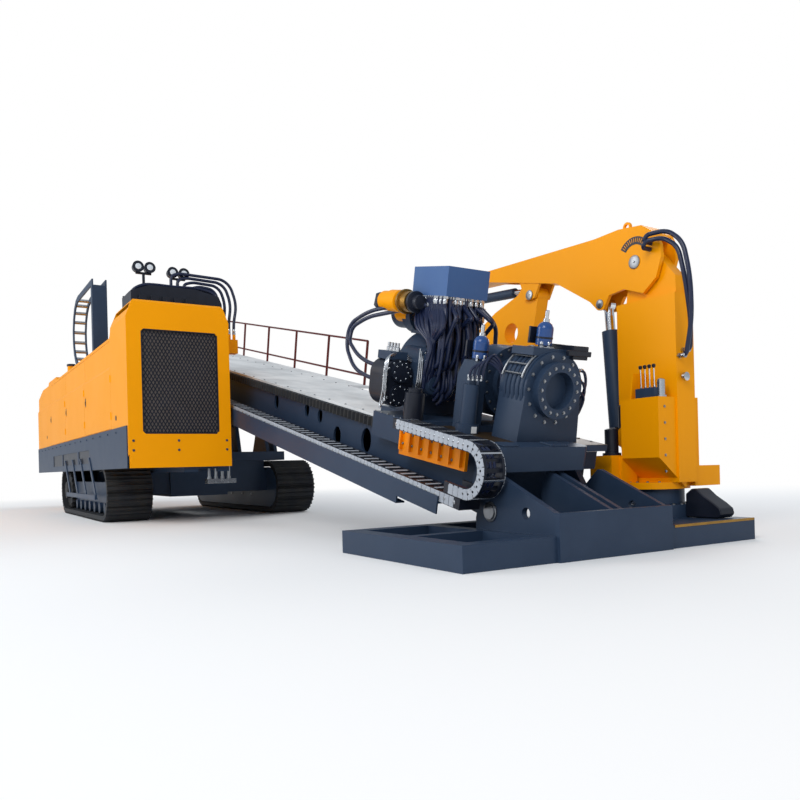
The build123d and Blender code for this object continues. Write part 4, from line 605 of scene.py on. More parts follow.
@dataclass
class EngineHouse(Assembly):
    """Grille, latches, bolts, lamps and roof hardware of the engine house."""

    body: Body = Body.CHASSIS
    axes: Axes = MACHINE
    near_y: float = -1620.0
    grille_y: Pair = (-1443.0, -468.0)
    grille_z: Pair = (1190.0, 2505.0)
    lip: float = 16.0
    lip_corner: float = 30.0
    lip_x: Pair = (-30.0, 3.0)
    mesh_pitch: float = 46.0
    mesh_slope: float = 1.75
    mesh_bar: float = 15.0
    openings: Outline = ((-6620.0, -5480.0), (-5400.0, -3760.0), (-3640.0, -2640.0))
    doors: tuple[tuple[Body, float], ...] = (
        (Body.FRONT_DOOR, -3060), (Body.MIDDLE_DOOR, -5060), (Body.REAR_DOOR, -7060),
    )
    roof_z: float = 2545.0
    chain_centre: Pair = (-4700.0, 3230.0)
    chain_radius: float = 590.0
    lamps: Outline = ((-1250.0, 3330.0), (-800.0, 3300.0))

    def build(self) -> None:
        """Make all the house's detail."""
        self.front()
        self.mesh()
        self.latches()
        self.roof()
        self.band()

    def front(self) -> None:
        """Grille lip, bolts and pipe stubs of the front."""
        (low_y, high_y), (low_z, high_z) = self.grille_y, self.grille_z
        (back, face), wide, cut = self.lip_x, self.lip, self.lip_corner
        lip = self.blocks("grille_lip", BLACK, 3)
        for y in (low_y, high_y - wide):
            lip.add(box((back, y, low_z + cut), (face, y + wide, high_z - cut)))
        for z in (low_z, high_z - wide):
            lip.add(box((back, low_y + cut, z), (face, high_y - cut, z + wide)))
        lip.build()
        places = [(0, y, z) for y in (-1560, -1000, -370) for z in (985, 1105)]
        self.kit("front_bolts", SLATE).add(*bolts(places, FORWARD, 13)).build()
        self.blocks("stub_ledge", ZINC, 2).add(box((-255, -600, 540), (-115, -215, 600))).build()
        stubs = self.kit("pipe_stubs", STEEL)
        for step in range(4):
            at = (-185, -560 + step * 88, 600)
            stubs.add(turned(at, UP, ((0, 26), (30, 26), (32, 20), (165, 20))), *bolt(at, UP, 24))
        stubs.build()

    def mesh(self) -> None:
        """Fine diamond mesh in the grille opening, with the radiator's core behind it."""
        (low_y, high_y), (low_z, high_z) = self.grille_y, self.grille_z
        core = box((-39, low_y + 3, low_z + 3), (-36, high_y - 3, high_z - 3))
        self.blocks("radiator_core", CORE).add(core).build()
        bars = self.blocks("grille_mesh", BLACK)
        run = (high_z - low_z) / self.mesh_slope
        half = self.mesh_bar / 2
        for lean in (-1, 1):
            for foot_y in np.arange(low_y - run, high_y + run, self.mesh_pitch):
                head_y = foot_y + lean * run
                (a_y, a_z), (b_y, b_z) = (
                    (y, low_z + (high_z - low_z) * (y - foot_y) / (head_y - foot_y))
                    for y in np.clip((foot_y, head_y), low_y, high_y)
                )
                if abs(b_y - a_y) >= self.mesh_bar:
                    strip = ((a_y - half, a_z), (a_y + half, a_z), (b_y + half, b_z), (b_y - half, b_z))
                    bars.add(plate(strip, -28 - 4 * lean, -24 - 4 * lean, 0))
        bars.build()

    def latches(self) -> None:
        """Paddle latch on each door and a round vent at each end of the side."""
        y = self.near_y
        for body, rear in self.doors:
            rim = box((rear + 92, y - 2, 1762), (rear + 148, y + 10, 1882))
            paddle = box((rear + 104, y - 9, 1780), (rear + 136, y - 2, 1840))
            self.kit(f"{body.value}_latch", BLACK, 2, body).add(rim, paddle).build()
        vent = ((0, 34), (5, 34), (7, 26))
        places = ((-700, y + 2, 1430), (-7600, y + 2, 1500))
        self.kit("side_vents", BLACK).add(*(turned(at, TO_NEAR, vent, 20) for at in places)).build()

    def roof(self) -> None:
        """Hoses and valves of the gantry, rungs of the roof chain, exhausts and lamp lenses."""
        hoses = self.kit("gantry_top_hoses", HOSE)
        ends = self.kit("gantry_fittings", ZINC)
        for step in range(7):
            x = -790 + step * 62
            route = (
                (x, -1400, 2960), (x, -1420, 3080), (x + 8, -1240, 3160 + 8 * (step % 3)),
                (x, -900, 3166), (x - 6, -560, 3172), (x + 20, -380, 3120), (x + 26, -330, 3000),
            )
            hoses.add(pipe(curve_points(route), 19))
            ends.add(*fitting(route[0], (0, -0.16, 1), 19))
        for step in range(4):
            ends.add(*fitting((-495, -270 + 70 * step, 2600), UP, 20))
        hoses.build()
        ends.build()
        rungs = self.kit("roof_chain_rungs", ZINC)
        for step in range(10):
            turn = math.pi / 2 + math.pi * (step + 0.5) / 10
            x, z = on_circle(self.chain_centre, self.chain_radius, turn)
            rungs.add(turned((x, -1404, z), TO_FAR, ((0, 30), (198, 30)), 16))
        rungs.build()
        starts = [-1390 + step * 150 for step in range(5)]
        valves = [box((-300, y, 2885), (-262, y + 100, 2990)) for y in starts]
        self.blocks("gantry_valves", BLACK, 4).add(*valves).build()
        self.kit("exhaust_stack", SLATE).add(
            turned((-1500, -1050, self.roof_z), UP, ((0, 150), (18, 150), (18, 92), (330, 92), (338, 80))),
            turned((-2300, -1100, self.roof_z), UP, ((0, 60), (120, 60), (140, 90), (240, 90), (262, 60))),
        ).build()
        centres = [(-530, y + side * 75, top + 88) for y, top in self.lamps for side in (-1, 1)]
        lenses = [turned(centre, FORWARD, ((0, 40), (8, 37), (12, 24))) for centre in centres]
        self.kit("lamp_lenses", LENS).add(*lenses).build()

    def band(self) -> None:
        """Dark sheets of painted shade in the lower band's openings, its bolts and the filler cap."""
        y = self.near_y
        # Painted shade: black sheets just outside the side stand in for the shade inside the band's
        # openings.
        sheets = [box((rear - 20, y - 4, 820), (front + 20, y - 1, 1240)) for rear, front in self.openings]
        self.blocks("band_painted_shade", BLACK).add(*sheets).build()
        places = [(x, y - 14, 1235) for x in range(-8900, -100, 550)]
        self.kit("band_bolts", SLATE).add(*bolts(places, TO_NEAR, 11)).build()
        cap = turned((-5700, -1400, 2750), UP, ((0, 82), (34, 82), (42, 70)), 20)
        self.kit("filler_cap", BLACK).add(cap).build()


@dataclass
class Crawlers(Assembly):
    """Bolts on the inner sides and hub covers on the outer sides of both crawlers."""

    body: Body = Body.CHASSIS
    axes: Axes = MACHINE
    inner_y: float = 970.0
    outer_y: float = 1410.0
    bolt_x: tuple[float, ...] = (-4700, -4250, -3700, -3150, -2700)
    bolt_z: Pair = (300, 550)
    hub: Pair = (-1925, 425)

    def build(self) -> None:
        """Make the crawlers' detail."""
        kit = self.kit("crawler_bolts", STEEL)
        for side in (-1, 1):
            places = [(x, side * self.inner_y, z) for x in self.bolt_x for z in self.bolt_z]
            kit.add(*bolts(places, (0, -side, 0), 15))
            at = (self.hub[0], side * self.outer_y, self.hub[1])
            kit.add(turned(at, (0, side, 0), ((0, 120), (20, 120), (26, 60))))
        kit.build()


# Shared by both runs of the drag chain, in the drill frame's coordinates
CHAIN_FACE_V = -240.0
CHAIN_HOSE_V = (-190, -150, -110)
CHAIN_HOSE_RADIUS = 15.0
RIVET: Outline = ((-1, 17), (3, 17), (5, 10))


@dataclass
class DrillFrame(Assembly):
    """Deck bolts, girder stiffeners and the drag chain's lower run."""

    body: Body = Body.DRILL_FRAME
    axes: Axes = MAST
    deck_edges: Pair = (200, 1290)
    deck_w: float = 86.0
    links: int = 100
    link_pitch: float = 65.85
    chain_w: float = -320.0

    def build(self) -> None:
        """Make the drill frame's detail."""
        places = [(u, v, self.deck_w) for u in range(-13600, -1150, 400) for v in self.deck_edges]
        self.kit("deck_bolts", STEEL).add(*bolts(places, UP, 11)).build()
        ribs = [box((u, 150, -560), (u + 14, 160, -370)) for u in range(-13000, -5000, 1000)]
        bead = box((-13600, 152, -40), (-1000, 160, -36))
        self.blocks("girder_stiffeners", SLATE, 1).add(*ribs, bead).build()
        self.lower_run()

    def lower_run(self) -> None:
        """Hoses, link plates, caps and rivets of the chain's lower run."""
        hoses = self.kit("chain_lower_hoses", HOSE)
        for v in CHAIN_HOSE_V:
            route = np.array([(u, v, self.chain_w) for u in (-6600, -3000, -10)])
            hoses.add(pipe(route, CHAIN_HOSE_RADIUS, 8))
        hoses.build()
        plates = self.blocks("chain_lower_links", CHAIN_GREY, 2)
        for step in range(self.links):
            u = -6640 + step * self.link_pitch
            plates.add(box((u + 2, -243, -352), (u + 63, -239, -268)))
        plates.build()
        caps = self.blocks("chain_lower_caps", CHAIN_GREY, 1)
        for step in range(self.links // 2):
            u = -6570 + step * 2 * self.link_pitch
            caps.add(box((u, -214, -270), (u + 30, -66, -264)))
        caps.build()
        rivets = self.kit("chain_lower_rivets", STEEL)
        for step in range(self.links // 2 + 1):
            at = (-6635 + step * 2 * self.link_pitch, CHAIN_FACE_V, -310)
            rivets.add(turned(at, TO_NEAR, RIVET, 10))
        rivets.build()


@dataclass
class PowerHead(Assembly):
    """Motors, valve blocks, fittings, hoses and drag chain of the power head."""

    body: Body = Body.POWER_HEAD
    axes: Axes = MAST
    box_bottom: float = 1300.0
    axis: Pair = (745.0, 586.0)
    reducer: Point = (-1500.0, 415.0, 577.0)
    reducer_size: Pair = (330.0, 470.0)
    motor: Point = (-1560.0, 90.0, 456.0)
    motor_size: Pair = (306.0, 450.0)
    bundle_hoses: int = 30
    side_hoses: int = 15
    hose_radii: tuple[float, ...] = (17.0, 20.0, 23.0)
    rear_motor: Pair = (330.0, 1231.0)
    loop_centre: Pair = (51.65, -30.35)
    loop_reach: float = 185.35
    link_pitch: int = 66
    loop_links: int = 10

    def build(self) -> None:
        """Make the power head's detail."""
        self.motors()
        self.hose_bundle()
        self.valves()
        self.rear_drive()
        self.chain()
        self.chain_links()
        self.fasteners()

    def oblong_bolts(self, face: Point, size: Pair, count: int, inset: float = 20.0) -> list[Shape]:
        """Bolts round an oblong face that looks forward.

        Args:
            face: the face's middle.
            size: its width and height.
            count: bolts on each half round.
            inset: how far the bolts stand inside the edge.

        Returns:
            The bolts' shapes.
        """
        radius = size[0] / 2 - inset
        rise = size[1] / 2 - size[0] / 2
        places = []
        for turn in np.linspace(0, math.pi, count):
            v, up = face[1] + radius * math.cos(turn), rise + radius * math.sin(turn)
            places += [(face[0], v, face[2] + side * up) for side in (-1, 1)]
        return bolts(places, FORWARD, 10)

    def motors(self) -> None:
        """Bolted covers of the reducers and motors, with their silver pipes."""
        cases = self.kit("motor_covers", SLATE)
        studs = self.kit("motor_bolts", ZINC)
        cover = ((-2, 118), (34, 118), (44, 104), (58, 104), (62, 70), (74, 66))
        middle = self.axis[0]
        for mirror in (1, -1):
            reducer, motor = (
                (u, middle - mirror * (middle - v), w) for u, v, w in (self.reducer, self.motor)
            )
            studs.add(*self.oblong_bolts(reducer, self.reducer_size, 8))
            studs.add(*self.oblong_bolts(motor, self.motor_size, 7))
            for rise in (-100, 100):
                cases.add(turned((*reducer[:2], reducer[2] + rise), FORWARD, cover, 28))
                studs.add(*bolt_ring((motor[0] + 40, motor[1], motor[2] + rise * 1.05), 76, 8, 8))
        cases.build()
        studs.build()
        self.silver_pipes()

    def silver_pipes(self) -> None:
        """Pipes round and between the near motors and reducers."""
        lines = self.kit("motor_pipes", ZINC)
        front, near_v, mid_w = self.motor
        gap_v = near_v + 160
        for step in range(3):
            edge_v = near_v - 150 + 14 * step
            around = (
                (front - 20 + 12 * step, edge_v - 20, mid_w - 190 + 30 * step),
                (front + 14, edge_v - 26, mid_w - 60),
                (front + 10, edge_v - 22, mid_w + 120),
                (front - 30, edge_v + 30, mid_w + 238 + 12 * step),
                (front - 60, edge_v + 190, mid_w + 250 + 14 * step),
                (front - 50, edge_v + 300, mid_w + 210),
            )
            between = (
                (front + 66, gap_v - 10 + 22 * step, mid_w - 120),
                (front + 96, gap_v - 16 + 22 * step, mid_w + 40),
                (front + 84, gap_v - 4 + 18 * step, mid_w + 220),
                (front + 40, gap_v + 26 + 16 * step, mid_w + 340 - 24 * step),
            )
            lines.add(pipe(curve_points(around, 10), 9), pipe(curve_points(between, 10), 8))
            lines.add(*fitting(between[0], DOWN, 12), *fitting(around[0], DOWN, 12))
        lines.build()

    def hose_bundle(self) -> None:
        """Hoses that fall from the valve box in front of the gear case and down to the motors."""
        rng = np.random.default_rng(SEED)
        bundle = self.kit("hose_bundle", HOSE)
        ends = self.kit("bundle_fittings", ZINC)
        top = self.box_bottom
        for step in range(self.bundle_hoses):
            v = 415 + 15 * step
            u = -1390 - 50 * (step % 4)
            sway = rng.uniform(-30, 30)
            drop = rng.uniform(640, 960)
            landing = -1465 if v < 600 else -1560
            route = (
                (u, v, top),
                (u + 12, v + sway * 0.3, top - 170),
                (u + 66 + rng.uniform(-20, 30), v + sway, 920),
                (u + 50, v + sway * 0.7, 720),
                (landing + 70 + rng.uniform(-20, 40), v - 6, top - drop),
                (landing, v - 14, top - drop - 90),
            )
            bundle.add(pipe(curve_points(route, 10), rng.choice(self.hose_radii)))
            ends.add(*fitting(route[0], DOWN, 20))
        for step in range(self.side_hoses):
            u = -1880 + 33 * step
            spread = rng.uniform(-26, 26)
            foot_v = 296 + 9 * step
            route = (
                (u, 414, top),
                (u + 16, 404, top - 130),
                (u + 150 + spread, 362 + spread, 1010),
                (-1470 + spread, 342 + 4 * step, 850),
                (-1436 + spread * 0.6, foot_v, 640 + spread),
                (-1462, foot_v + 6, 470 + 2 * spread),
            )
            bundle.add(pipe(curve_points(route, 10), rng.choice(self.hose_radii)))
            ends.add(*fitting(route[0], DOWN, 20))
        for v in range(425, 846, 70):
            ends.add(*fitting((-1405, v, top), DOWN, 22))
        for u, w, return_w in ((-1700, 1270, 450), (-1650, 1212, 590)):
            ends.add(*fitting((u, 460, w), TO_NEAR, 22), *fitting((-1850, 95, return_w), BACKWARD, 22))
        bundle.build()
        ends.build()

    def valves(self) -> None:
        """Valve stack below the box, the near manifold and the pale side valve."""
        stack = self.blocks("valve_blocks", SLATE, 4)
        silver = self.kit("valve_spools", ZINC)
        for v in range(450, 763, 78):
            stack.add(box((-1560, v, 1185), (-1445, v + 60, 1300)))
            silver.add(turned((-1445, v + 30, 1215), FORWARD, ((0, 20), (46, 20), (50, 12), (70, 12))))
            silver.add(turned((-1445, v + 30, 1265), FORWARD, ((0, 15), (26, 15), (30, 9))))
        stack.add(box((-1840, 0, 670), (-1600, 190, 750)))
        for u in range(-1800, -1631, 56):
            silver.add(turned((u, 95, 750), UP, ((0, 22), (34, 22), (40, 14), (80, 14))))
        stack.build()
        silver.build()
        self.blocks("side_valve", ZINC, 4).add(
            box((-1560, 822, 1040), (-1400, 884, 1292)), box((-1540, 884, 1090), (-1430, 930, 1230))
        ).build()

    def rear_drive(self) -> None:
        """Rear motor behind the valve box, with its brass flange and black necks."""
        v, w = self.rear_motor
        drum = ((0, 60), (8, 100), (150, 100), (156, 112), (330, 112), (340, 90))
        pump = ((0, 60), (6, 84), (200, 84), (210, 70), (280, 70))
        self.kit("rear_motor", YELLOW).add(
            turned((-2350, v, w), FORWARD, drum, 28), turned((-2330, 520, 1120), FORWARD, pump, 26)
        ).build()
        flange = ((0, 92), (60, 92), (60, 122), (84, 122), (86, 100), (190, 100))
        self.kit("rear_motor_flange", BRASS).add(
            turned((-2010, v, w), FORWARD, flange, 28), *bolt_ring((-1926, v, w), 111, 12, 7)
        ).build()
        neck = ((0, 84), (40, 104), (70, 104), (76, 70), (150, 66))
        elbow = ((0, 50), (20, 74), (140, 74), (160, 40))
        self.kit("rear_motor_neck", BLACK).add(
            turned((-1822, v, w), FORWARD, neck, 28), turned((-2440, 330, 1150), (0.25, 0, 1), elbow, 20)
        ).build()

    def chain(self) -> None:
        """Rivets and hoses of the drag chain's loop and upper run."""
        (centre_u, centre_w), reach = self.loop_centre, self.loop_reach
        rivets = self.kit("chain_loop_rivets", ZINC)
        hoses = self.kit("chain_loop_hoses", HOSE)
        turns = math.pi / 2 - math.pi * np.arange(10) / 9
        places = [*on_circle(self.loop_centre, reach, turns)]
        places += [(u, centre_w + reach) for u in range(-1000, 40, self.link_pitch)]
        rivets.add(*(turned((u, CHAIN_FACE_V, w), TO_NEAR, RIVET, 12) for u, w in places))
        arc = on_circle(self.loop_centre, reach, np.linspace(math.pi / 2, -math.pi / 2, 20))
        line = np.vstack([(-1000, centre_w + reach), arc, (centre_u - 230, centre_w - reach)])
        for v in CHAIN_HOSE_V:
            hoses.add(pipe(np.insert(line, 1, v, axis=1), CHAIN_HOSE_RADIUS, 8))
        rivets.build()
        hoses.build()

    def chain_links(self) -> None:
        """Link plates on both sides of the loop and upper run, and stays across them."""
        centre_w, reach = self.loop_centre[1], self.loop_reach
        links = self.blocks("chain_loop_links", CHAIN_GREY, 3)
        stays = self.blocks("chain_loop_stays", ZINC, 2)
        places = [(u + 33.0, centre_w + reach, 0.0) for u in range(-1000, 10, self.link_pitch)]
        for step in range(self.loop_links):
            turn = math.pi / 2 - math.pi * (step + 0.5) / self.loop_links
            places.append((*on_circle(self.loop_centre, reach, turn), turn - math.pi / 2))
        places += [(u, centre_w - reach, math.pi) for u in (20.0, -46.0, -112.0)]
        link = ((-31, -28), (-21, -40), (21, -40), (31, -28), (31, 43), (-31, 43))
        stay = ((-8, 40), (8, 40), (8, 47), (-8, 47))
        for index, (u, w, turn) in enumerate(places):
            along = np.array([math.cos(turn), math.sin(turn)])
            link_axes = np.array([along, (-along[1], along[0])])
            sheet = np.array([u, w]) + np.array(link) @ link_axes
            for near in (-245.0, -39.0):
                links.add(plate(sheet, near, near + 4))
            if index % 3 == 0:
                stays.add(plate(np.array([u, w]) + np.array(stay) @ link_axes, -241, -39))
        links.build()
        stays.build()

    def fasteners(self) -> None:
        """Bolt rings of the gear case and bolts of the carriage."""
        self.kit("gear_case_bolts", ZINC).add(
            *bolt_ring((-1600, *self.axis), 285, 22, 11), *bolt_ring((-1440, *self.axis), 180, 12, 10)
        ).build()
        top = [(u, 40, 150) for u in range(-1860, -1190, 120)]
        side = [(u, 0, w) for u in range(-1240, -330, 155) for w in (-60, 40)]
        self.kit("carriage_bolts", STEEL).add(*bolts(top, UP, 10), *bolts(side, TO_NEAR, 11)).build()


@dataclass
class Vises(Assembly):
    """Rings, guards, cylinders and fittings of the two pipe vises."""

    body: Body = Body.VISE_SLIDE
    axes: Axes = MAST
    axis: Pair = (745.0, 586.0)
    bottles: Route = ((-330.0, 730.0, 925.0), (-735.0, 385.0, 760.0))
    guard_radius: float = 345.0
    guard_u: Pair = (-440.0, -190.0)
    table_w: float = 140.0

    def build(self) -> None:
        """Make the vises' detail."""
        self.front()
        self.guard()
        self.table()
        self.fittings()
        self.rotary()

    def front(self) -> None:
        """Bolts, ribs, top cover and bore strip of the front vise."""
        v, w = self.axis
        self.kit("vise_face_bolts", STEEL).add(
            *bolt_ring((-80, v, w), 196, 16, 12), *bolt_ring((-150, v, w), 278, 14, 13)
        ).build()
        rib = ((0, 322), (8, 330), (26, 330), (34, 322))
        ribs = [turned((-120 - 55 * step, v, w), BACKWARD, rib, 48) for step in range(1, 6)]
        self.kit("vise_face_ring", SLATE).add(*ribs).build()
        self.blocks("vise_top_cover", BLACK, 6).add(
            box((-470, v + 130, 850), (-110, v + 300, 965)), box((-130, v + 60, 880), (-90, v + 318, 925))
        ).build()
        strip = box((-420, v - 40, w + 148), (-180, v + 40, w + 154))
        self.blocks("vise_jaws", STEEL, 2).add(strip).build()

    def guard(self) -> None:
        """Curved step with rungs on the front vise's near shoulder."""
        guard = self.kit("vise_guard", STEEL)
        rear, front = self.guard_u
        arc = on_circle(self.axis, self.guard_radius, np.radians(np.linspace(95, 165, 14)))
        for u in self.guard_u:
            guard.add(pipe(np.insert(arc, 0, u, axis=1), 10, 8))
        for turn in np.radians((100, 115, 130, 145, 160)):
            at = on_circle(self.axis, self.guard_radius, turn)
            guard.add(pipe(np.array([(u, *at) for u in (rear, (rear + front) / 2, front)]), 8, 8))
        guard.build()

    def table(self) -> None:
        """Bolts, edge strip and wear plate of the vise table, and caps of the front beam."""
        self.blocks("vise_table_edge", BRASS, 2).add(box((-990, 116, 100), (-30, 122, 136))).build()
        places = [(u, v, self.table_w) for u in range(-950, -20, 155) for v in (160, 1290)]
        self.kit("vise_table_bolts", STEEL).add(*bolts(places, UP, 13)).build()
        caps = [box((0, near, 165), (150, far, 179)) for near, far in ((20, 180), (520, 700))]
        self.blocks("front_beam_caps", SLATE, 4).add(*caps).build()
        wear_plate = box((-998, 122, self.table_w - 1), (-17, 1328, self.table_w + 3))
        self.blocks("vise_table_plate", BRONZE).add(wear_plate).build()

    def fittings(self) -> None:
        """Bands and valves of the accumulators, a blank tag and the hoses to the vises."""
        silver = self.kit("vise_fittings", ZINC)
        black = self.kit("vise_hoses", HOSE)
        bands = self.kit("bottle_bands", BLACK)
        for u, v, foot in self.bottles:
            bands.add(turned((u, v, foot + 74), UP, ((0, 70), (0, 73), (16, 73), (16, 70)), 28))
            bands.add(box((u - 96, v - 96, foot + 30), (u - 74, v + 60, foot + 170)))
            silver.add(turned((u, v, foot + 214), UP, ((0, 28), (26, 26), (28, 17), (92, 17)), 14))
            silver.add(*fitting((u + 62, v, foot), UP, 14), *fitting((u + 34, v - 52, foot), UP, 14))
        bands.build()
        for step in range(4):
            u, v = -600 + step * 12, 190 + step * 36
            route = (
                (u, v, 600), (u + 20, v + 10, 700 + step * 14), (-560, 330 + step * 24, 760 + step * 20),
                (-500, 430 + step * 10, 700), (-480, 446, 620 - step * 60),
            )
            black.add(pipe(curve_points(route, 12), 12, 8))
            silver.add(*fitting(route[0], UP, 13))
        for step in range(3):
            route = (
                (-200, 1040, 760 - step * 90), (-190, 1110, 740 - step * 90), (-200, 1150, 620 - step * 60),
                (-240, 1120 + step * 6, 440 - step * 40), (-300, 1060, 320 - step * 30),
            )
            black.add(pipe(curve_points(route, 12), 13, 8))
            silver.add(*fitting(route[0], TO_FAR, 15))
        self.blocks("blank_tag", TAG).add(box((-541, 228, 152), (-537, 282, 208))).build()
        silver.build()
        black.build()

    def rotary(self) -> None:
        """Bolt rings of the rear vise and threads on the spindle's nose."""
        v, w = self.axis
        self.kit("rotary_vise_bolts", STEEL, body=Body.ROTARY_VISE).add(
            *bolt_ring((-680, v, w), 295, 20, 11), *bolt_ring((-620, v, w), 194, 12, 11, 0.2)
        ).build()
        nose = self.kit("spindle_threads", STEEL, body=Body.SPINDLE)
        for step in range(8):
            root, crest = 92 - step * 1.3, 96 - step * 1.3
            nose.add(turned((-1330 + 16 * step, v, w), FORWARD, ((0, root), (4, crest), (8, root)), 32))
        nose.build()


@dataclass
class Anchor(Assembly):
    """Brass edge strip, bolts, pin caps, hose boot and pads of the ground anchor."""

    body: Body = Body.ANCHOR
    axes: Axes = MACHINE
    slew_axis: Pair = (5020.0, 1950.0)
    pin_z: float = 330.0
    boot: Outline = (
        (5320, 190), (5320, 395), (5380, 440), (5430, 440), (5500, 380), (5600, 318), (5660, 272),
        (5672, 222), (5640, 190),
    )
    boot_y: Pair = (1960, 2150)

    def build(self) -> None:
        """Make the anchor's detail."""
        self.blocks("anchor_edge_strips", BRASS, 1).add(box((5755, 1250, 165), (5763, 2280, 186))).build()
        kit = self.kit("anchor_bolts", STEEL)
        ring = np.insert(on_circle(self.slew_axis, 272, full_turn(18)), 2, 300, axis=1)
        kit.add(*bolts(ring, UP, 14))
        kit.add(*bolts([(x, y, 184) for y in (100, 1100) for x in (5640, 5700)], UP, 13))
        for y, side in ((10, -1), (1190, 1)):
            at = (self.slew_axis[0], y, self.pin_z)
            kit.add(turned(at, (0, side, 0), ((-1, 78), (10, 78), (12, 60), (22, 60)), 28))
        kit.build()
        self.kit("hose_boot", BLACK, 12).add(plate(self.boot, *self.boot_y)).build()
        pads = [box((x, 1330, 184), (x + 220, 1560, 200)) for x in (4500, 5300)]
        self.blocks("anchor_pads", SLATE, 4).add(*pads).build()


@dataclass
class Crane(Assembly):
    """Pin caps, angle sector, levers, gauge, filter and jaw trim of the pipe crane."""

    body: Body = Body.CRANE
    axes: Axes = MACHINE
    slew_axis: Pair = (5020.0, 1950.0)
    # Each pin's body, place, half length and cap radius
    pin_places: tuple[tuple[Body, Pair, float, float], ...] = (
        (Body.BOOM, (4936, 2519), 120, 62),
        (Body.BOOM, (4505, 2218), 120, 44),
        (Body.BOOM, (3497, 2514), 112, 52),
        (Body.JIB, (3395, 2600), 75, 34),
        (Body.JAW, (2620, 1950), 121, 44),
        (Body.CRANE, (4590, 930), 75, 44),
        (Body.BOOM, (2230, 2700), 90, 44),
    )
    sector_centre: Pair = (4936.0, 2560.0)
    sector_radii: Pair = (120.0, 190.0)
    mark_radii: Pair = (140.0, 176.0)
    mark_half: float = 2.5
    levers: int = 4
    lever_lean: Point = (0.1, -0.15, 1)
    column_face: float = 5363.0

    def build(self) -> None:
        """Make the crane's detail."""
        self.pins()
        self.sector()
        self.controls()
        self.column()
        self.hose_ends()

    def pins(self) -> None:
        """Caps on both ends of every pivot pin."""
        for index, (body, (x, z), half, radius) in enumerate(self.pin_places):
            caps = self.kit(f"pin_caps_{index}", STEEL, body=body)
            for side in (-1, 1):
                end = self.slew_axis[1] + side * half
                disc = ((-1, radius), (9, radius), (12, radius * 0.86))
                caps.add(turned((x, end, z), (0, side, 0), disc, 26))
                caps.add(*bolt((x, end + side * 10, z), (0, side, 0), 11))
            caps.build()

    def sector(self) -> None:
        """Blank angle sector on the boom's side, with its marks."""
        face = self.slew_axis[1] - 120
        turns = np.radians(np.linspace(35, 145, 12))
        inside, outside = self.sector_radii
        outer = on_circle(self.sector_centre, outside, turns)
        inner = on_circle(self.sector_centre, inside, turns[::-1])
        rim = np.vstack([outer, inner])
        self.blocks("angle_sector", BLACK, body=Body.BOOM).add(plate(rim, face - 3, face)).build()
        marks = self.blocks("sector_marks", YELLOW, body=Body.BOOM)
        for turn in np.radians(np.linspace(42, 138, 13)):
            out = np.array([math.cos(turn), math.sin(turn)])
            side = np.array([-out[1], out[0]]) * self.mark_half
            low, high = (np.array(self.sector_centre) + out * radius for radius in self.mark_radii)
            marks.add(plate((low - side, low + side, high + side, high - side), face - 5, face - 2))
        marks.build()

    def controls(self) -> None:
        """Bank of hand levers on the control housing."""
        levers = self.kit("control_levers", CHROME)
        knobs = self.kit("lever_knobs", BLACK)
        for step in range(self.levers):
            x = 5110 + step * 48
            levers.add(turned((x, 1672, 1330), self.lever_lean, ((0, 11), (20, 11), (22, 6), (170, 6))))
            grip = ((0, 8), (6, 15), (26, 17), (34, 10))
            knobs.add(turned((x + 17, 1646, 1500), self.lever_lean, grip))
        self.blocks("lever_bank", SLATE, 4).add(box((5080, 1625, 1245), (5290, 1720, 1330))).build()
        levers.build()
        knobs.build()

    def column(self) -> None:
        """Pressure gauge, filter, motor and bolts of the crane's column."""
        gauge = ((0, 12), (26, 12), (26, 38), (52, 38), (54, 33))
        stem = ((0, 46), (14, 46), (14, 34), (150, 34), (160, 24))
        self.kit("pressure_gauge", ZINC).add(
            turned((self.column_face, 1900, 1420), FORWARD, gauge, 26),
            turned((5300, 1700, 1245), UP, stem, 22),
        ).build()
        can = ((0, 84), (24, 84), (26, 62), (240, 62), (250, 44))
        motor = ((0, 50), (200, 50), (214, 30))
        self.kit("return_filter", BLACK).add(
            turned((4770, 1650, 750), UP, can, 26), turned((4860, 1720, 1000), UP, motor, 22)
        ).build()
        foot = np.insert(on_circle(self.slew_axis, 258, full_turn(16)), 2, 500, axis=1)
        edge = [(5345, 1680, z) for z in range(600, 1200, 140)]
        self.kit("crane_bolts", STEEL).add(*bolts(foot, UP, 12), *bolts(edge, FORWARD, 10)).build()

    def hose_ends(self) -> None:
        """Fittings where the crane's hoses leave the column, and the pads of the jaw."""
        ends = self.kit("crane_fittings", ZINC)
        for step in range(2):
            ends.add(*fitting((self.column_face, 1860 + 55 * step, 1600 + 52 * step), FORWARD, 21))
        ends.build()
        middles = [self.slew_axis[1] + side * 92 for side in (-1, 1)]
        pads = [box((2700, y - 10, 1600), (2860, y + 10, 1622)) for y in middles]
        self.blocks("jaw_pads", BLACK, 3, Body.JAW).add(*pads).build()


# Nodes that look different from their slot in the record
REPAINTED = {"roof_chain": SLATE, "chain_loop": BLACK, "chain_lower_run": BLACK}


def dress_frame(nodes: dict[str, bpy.types.Object], record: dict) -> None:
    """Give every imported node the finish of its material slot.

    Args:
        nodes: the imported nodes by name.
        record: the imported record, whose subparts name each node's slot.
    """
    by_name = {finish.name: finish for finish in FINISHES}
    for part in record["subparts"]:
        mesh = nodes[part["node"]].data
        mesh.materials.clear()
        mesh.materials.append(PAINTS.get(REPAINTED.get(part["node"], by_name[part["material_slot"]])))


